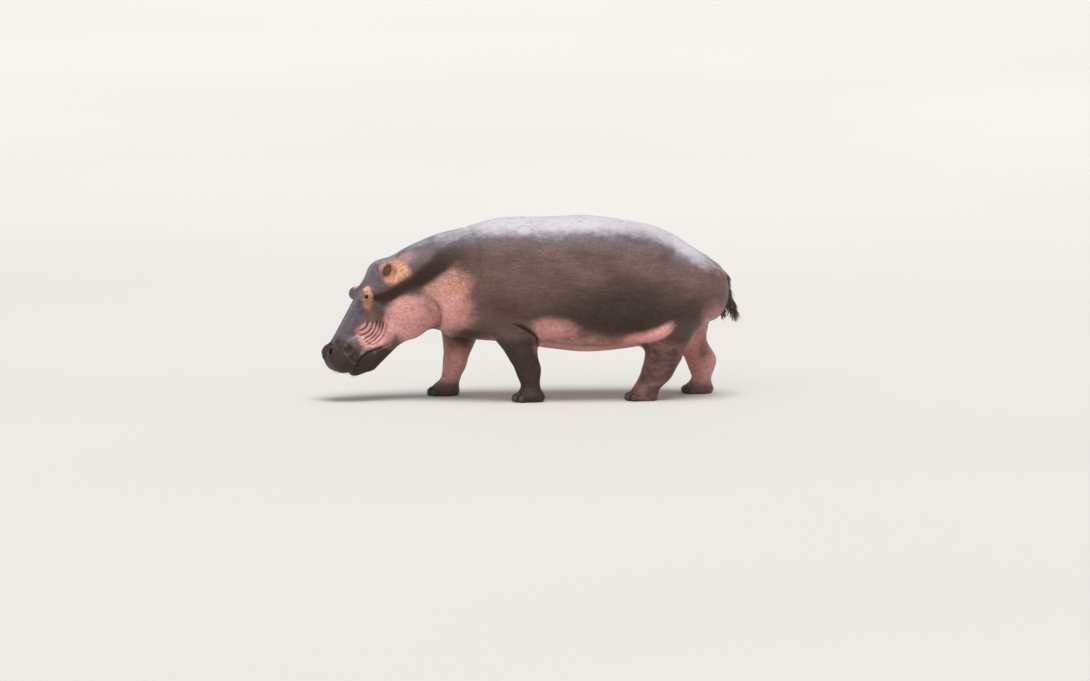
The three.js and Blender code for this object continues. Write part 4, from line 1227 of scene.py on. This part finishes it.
# %% The bristle tree
def bristle_tree():
    """A tapered, bowed tube on every root, turned the way it grows, with its patch of the map."""
    tree = bpy.data.node_groups.new("bristles", "GeometryNodeTree")
    sockets = {}
    for name, kind, value in (
        ("Geometry", "NodeSocketGeometry", None), ("Stoutness", "NodeSocketFloat", 0.02),
        ("Bend", "NodeSocketFloat", 0.2), ("Patch", "NodeSocketFloat", 0.003),
        ("Material", "NodeSocketMaterial", None),
    ):
        socket = tree.interface.new_socket(name, in_out="INPUT", socket_type=kind)
        if value is not None:
            socket.default_value = value
        sockets[name] = socket.identifier
    tree.interface.new_socket("Geometry", in_out="OUTPUT", socket_type="NodeSocketGeometry")
    given = add(tree, "NodeGroupInput").outputs

    # one bristle, a unit long
    bow = add(tree, "ShaderNodeCombineXYZ", {"X": given["Bend"], "Z": 1.0})
    shaft = add(tree, "GeometryNodeCurveQuadraticBezier", {
        "Resolution": 4, "Start": (0, 0, 0), "Middle": (0, 0, 0.6), "End": bow,
    })
    ring = add(tree, "GeometryNodeCurvePrimitiveCircle", {"Resolution": 4, "Radius": given["Stoutness"]})
    along = add(tree, "GeometryNodeSplineParameter")
    shaft, ring = (
        add(tree, "GeometryNodeStoreNamedAttribute", {
            "Geometry": curve, "Name": name, "Value": along,
        }, data_type="FLOAT", domain="POINT")
        for curve, name in ((shaft, "up_shaft"), (ring, "round_shaft"))
    )
    taper = add(tree, "ShaderNodeMapRange", {"Value": along, "To Min": 1.0, "To Max": 0.25})
    shaft = add(tree, "GeometryNodeSetCurveRadius", {"Curve": shaft, "Radius": taper})
    tube = add(tree, "GeometryNodeCurveToMesh", {
        "Curve": shaft, "Profile Curve": ring, "Fill Caps": True,
    })

    # a copy on every root
    lean, root, length, up_shaft, round_shaft = (
        add(tree, "GeometryNodeInputNamedAttribute", {"Name": name}, data_type=kind)
        for name, kind in (
            ("lean", "FLOAT_VECTOR"), ("root_place", "FLOAT_VECTOR"), ("length", "FLOAT"),
            ("up_shaft", "FLOAT"), ("round_shaft", "FLOAT"),
        )
    )
    stand = add(tree, "FunctionNodeAlignRotationToVector", {"Vector": lean}, axis="Z")
    spin = add(tree, "FunctionNodeRandomValue", {
        "Min": (0, 0, 0), "Max": (0, 0, 6.28), "Seed": 5,
    }, data_type="FLOAT_VECTOR")
    stand = add(tree, "FunctionNodeRotateRotation", {
        "Rotation": stand, "Rotate By": spin,
    }, rotation_space="LOCAL")
    many = add(tree, "GeometryNodeInstanceOnPoints", {
        "Points": given["Geometry"], "Instance": tube, "Rotation": stand, "Scale": length,
    })
    solid = add(tree, "GeometryNodeRealizeInstances", {"Geometry": many})

    # the map: a small patch at the root's place
    spot = add(tree, "ShaderNodeCombineXYZ", {"X": round_shaft, "Y": up_shaft})
    spot = add(tree, "ShaderNodeVectorMath", {0: spot, 3: given["Patch"]}, operation="SCALE")
    spot = add(tree, "ShaderNodeVectorMath", {0: spot, 1: root}, operation="ADD")
    mapped = add(tree, "GeometryNodeStoreNamedAttribute", {
        "Geometry": solid, "Name": "OFBake", "Value": spot,
    }, data_type="FLOAT2", domain="CORNER")
    smooth = add(tree, "GeometryNodeSetShadeSmooth", {"Geometry": mapped})
    coated = add(tree, "GeometryNodeSetMaterial", {"Geometry": smooth, "Material": given["Material"]})
    add(tree, "NodeGroupOutput", {"Geometry": coated})
    return tree, sockets


BRISTLES, BRISTLE_INPUTS = bristle_tree()
print("bristle tree:", len(BRISTLES.nodes), "nodes")

# %% [markdown]
# ### Bristle keratin
# Bristles are keratin, like the nails: dark brown at the root and paler and slightly glossy along
# the worn tip.

# %% Bristle material
keratin, tree, shader = new_material("bristle keratin")
up_shaft = add(tree, "ShaderNodeAttribute", attribute_name="up_shaft").outputs["Fac"]
strand = add(tree, "ShaderNodeTexNoise", {"Scale": 40.0, "Detail": 2.0})
hair = lay(tree, "#2b211c", "#4a3b32", share_of(tree, (strand, 0.35, 0.65)))
hair = lay(tree, hair, "#8d7a68", share_of(tree, (up_shaft, 0.4, 1.0)), 0.6)
feed(shader, {"Base Color": hair, "Roughness": 0.45, "IOR": 1.55})
print("bristle keratin:", len(tree.nodes), "nodes")

# %% Plant bristles on chosen points
ROOT_DEPTH = 1.5
SPREAD = 0.14


def plant(name, chosen, count, leans, lengths, places, stoutness, bend, material_slot):
    """Bristles on count of the chosen points; leans, lengths (mm) and places belong to all points."""
    dice = np.random.default_rng(11)
    picked = dice.choice(np.flatnonzero(chosen), count, replace=False)
    jitter = dice.normal(0, SPREAD, (count, 3))
    points = in_metres(placed[picked] - ROOT_DEPTH * hide_normals[picked])
    roots = bpy.data.meshes.new(name + "_roots")
    roots.from_pydata(points.tolist(), [], [])
    lean = leans[picked] / np.linalg.norm(leans[picked], axis=1)[:, None] + jitter
    spots = np.zeros((count, 3))
    spots[:, :2] = np.clip(places[picked], 0.01, 0.98)
    store(roots, "lean", "FLOAT_VECTOR", lean)
    store(roots, "length", "FLOAT", lengths[picked] * dice.uniform(0.65, 1.15, count) / 1000)
    store(roots, "root_place", "FLOAT_VECTOR", spots)
    carrier = bpy.data.objects.new(name + "_roots", roots)
    scene.collection.objects.link(carrier)
    modifier = carrier.modifiers.new("bristles", "NODES")
    modifier.node_group = BRISTLES
    modifier[BRISTLE_INPUTS["Stoutness"]] = stoutness
    modifier[BRISTLE_INPUTS["Bend"]] = bend
    modifier[BRISTLE_INPUTS["Material"]] = keratin
    evaluated = carrier.evaluated_get(bpy.context.evaluated_depsgraph_get())
    mesh = bpy.data.meshes.new_from_object(evaluated)
    bpy.data.objects.remove(carrier)
    mesh.name = name
    new_object(name, mesh, material_slot)
    maps = [layer.name for layer in mesh.uv_layers]
    print(name, "->", count, "bristles,", len(mesh.polygons), "faces, maps:", maps)

# %% The lips
LIP_BRISTLES = 170
upper_lip = (head_share > 0.5) & (U > 660) & (S > 25) & (V > -240) & (V < 0) & (above_mouth > 10)
chin = (head_share > 0.5) & (U > 690) & (above_mouth < -15) & (V < -240)
near_lips = (upper_lip | chin) & (at_nostril < 1)
down_and_out = hide_normals + 0.35 * HEAD_AXES[0] + np.array([0, 0, -0.25])
round_head = np.stack([np.arctan2(SIDE * S, V + 140) / (2 * pi) + 0.5, (U - 600) / 400], 1)
lengths = np.full(len(hide_points), 22.0)
plant("lip_bristles", near_lips, LIP_BRISTLES, down_and_out, lengths, round_head, 0.024, 0.3, "head_skin")

# %% The ears
MOST_EAR_BRISTLES = 200
rims = np.zeros(len(hide_points), bool)
ear_leans = np.zeros((len(hide_points), 3))
ear_places = np.zeros((len(hide_points), 2))
for side, left_of_map in ((1, 0.25), (-1, 0.75)):
    local = in_ear(mirrored, side)
    ring = np.hypot(local[:, 0] / 66, local[:, 1] / 45)
    on_rim = (SIDE == side) & (ring > 0.82) & (ring < 1.08) & (local[:, 0] > -40)
    on_rim &= (local[:, 2] > -14) & (local[:, 2] < 24)
    rims |= on_rim
    outwards = local * [1.0, 1.0, 0.2] @ ear_axes(side) * [1, side, 1]
    ear_leans = np.where(on_rim[:, None], outwards @ HEAD_AXES, ear_leans)
    ear_places = np.where(on_rim[:, None], local[:, :2] / 400 + [left_of_map, 0.5], ear_places)
print("rim points:", int(rims.sum()))
lengths = np.full(len(hide_points), 11.0)
count = min(MOST_EAR_BRISTLES, int(rims.sum()))
plant("ear_fringes", rims, count, ear_leans, lengths, ear_places, 0.035, 0.3, "ear_skin")

# %% The tail
MOST_TAIL_BRISTLES = 620
brush = (X > 1650) & (Z < 1050) & (np.abs(Y) < 70)
hanging_back = 0.22 * hide_normals + np.array([0.16, 0, -1.0])
round_tail = np.stack([np.arctan2(Y, X - 1730) / (2 * pi) + 0.5, (Z - 650) / 400], 1)
lengths = 45 + 35 * ramp(-Z, -960, -780)
count = min(MOST_TAIL_BRISTLES, int(brush.sum()))
plant("tail_brush", brush, count, hanging_back, lengths, round_tail, 0.026, 0.12, "body_skin")

# %% [markdown]
# ## The studio
# A plain pale floor sweeps up far away. A large soft sun stands overhead and lays a long pale sheen
# on the back, and a weaker one from the side opens the shadows.

# %% Floor
SWEEP = [(24, 0), (32, 0.25), (40, 1.2), (48, 3.4), (54, 6.5), (58, 10), (60, 15)]
TURNS = 64
floor_material, tree, shader = new_material("studio paper")
grain = add(tree, "ShaderNodeTexNoise", {"Scale": 6.0, "Detail": 3.0})
paper = lay(tree, "#cfccc6", "#d4d1cb", share_of(tree, (grain, 0.3, 0.7)))
feed(shader, {"Base Color": paper, "Roughness": 0.85})
floor_mesh = bpy.data.meshes.new("studio floor")
circle = [(cos(2 * pi * k / TURNS), sin(2 * pi * k / TURNS)) for k in range(TURNS)]
floor_points = [(r * x, r * y, z) for r, z in SWEEP for x, y in circle]
floor_faces = [tuple(range(TURNS))]
for ring in range(len(SWEEP) - 1):
    for k in range(TURNS):
        inner = ring * TURNS + k
        following = ring * TURNS + (k + 1) % TURNS
        floor_faces.append((inner, inner + TURNS, following + TURNS, following))
floor_mesh.from_pydata(floor_points, [], floor_faces)
floor_mesh.polygons.foreach_set("use_smooth", np.ones(len(floor_faces), bool))
floor_mesh.materials.append(floor_material)
floor = bpy.data.objects.new("studio_floor", floor_mesh)
scene.collection.objects.link(floor)
print("floor:", len(floor_faces), "faces")


# %% Lights
def soft_sun(name, towards, spread, strength):
    """A sun of a wide angle lights the whole floor evenly, like a bright overcast sky."""
    data = bpy.data.lights.new(name, "SUN")
    data.angle = radians(spread)
    data.energy = strength
    lamp = bpy.data.objects.new(name, data)
    lamp.rotation_euler = Vector(towards).to_track_quat("Z", "Y").to_euler()
    scene.collection.objects.link(lamp)


soft_sun("overhead", (0.08, -0.30, 1.0), 38, 2.7)
soft_sun("side", (-0.6, -1.0, 0.45), 60, 0.9)
world = bpy.data.worlds.new("studio")
scene.world = world
world.use_nodes = True
feed(world.node_tree.nodes["Background"], {"Color": "#eceef2", "Strength": 0.48})
scene.view_settings.view_transform = "Standard"
print("studio ready")
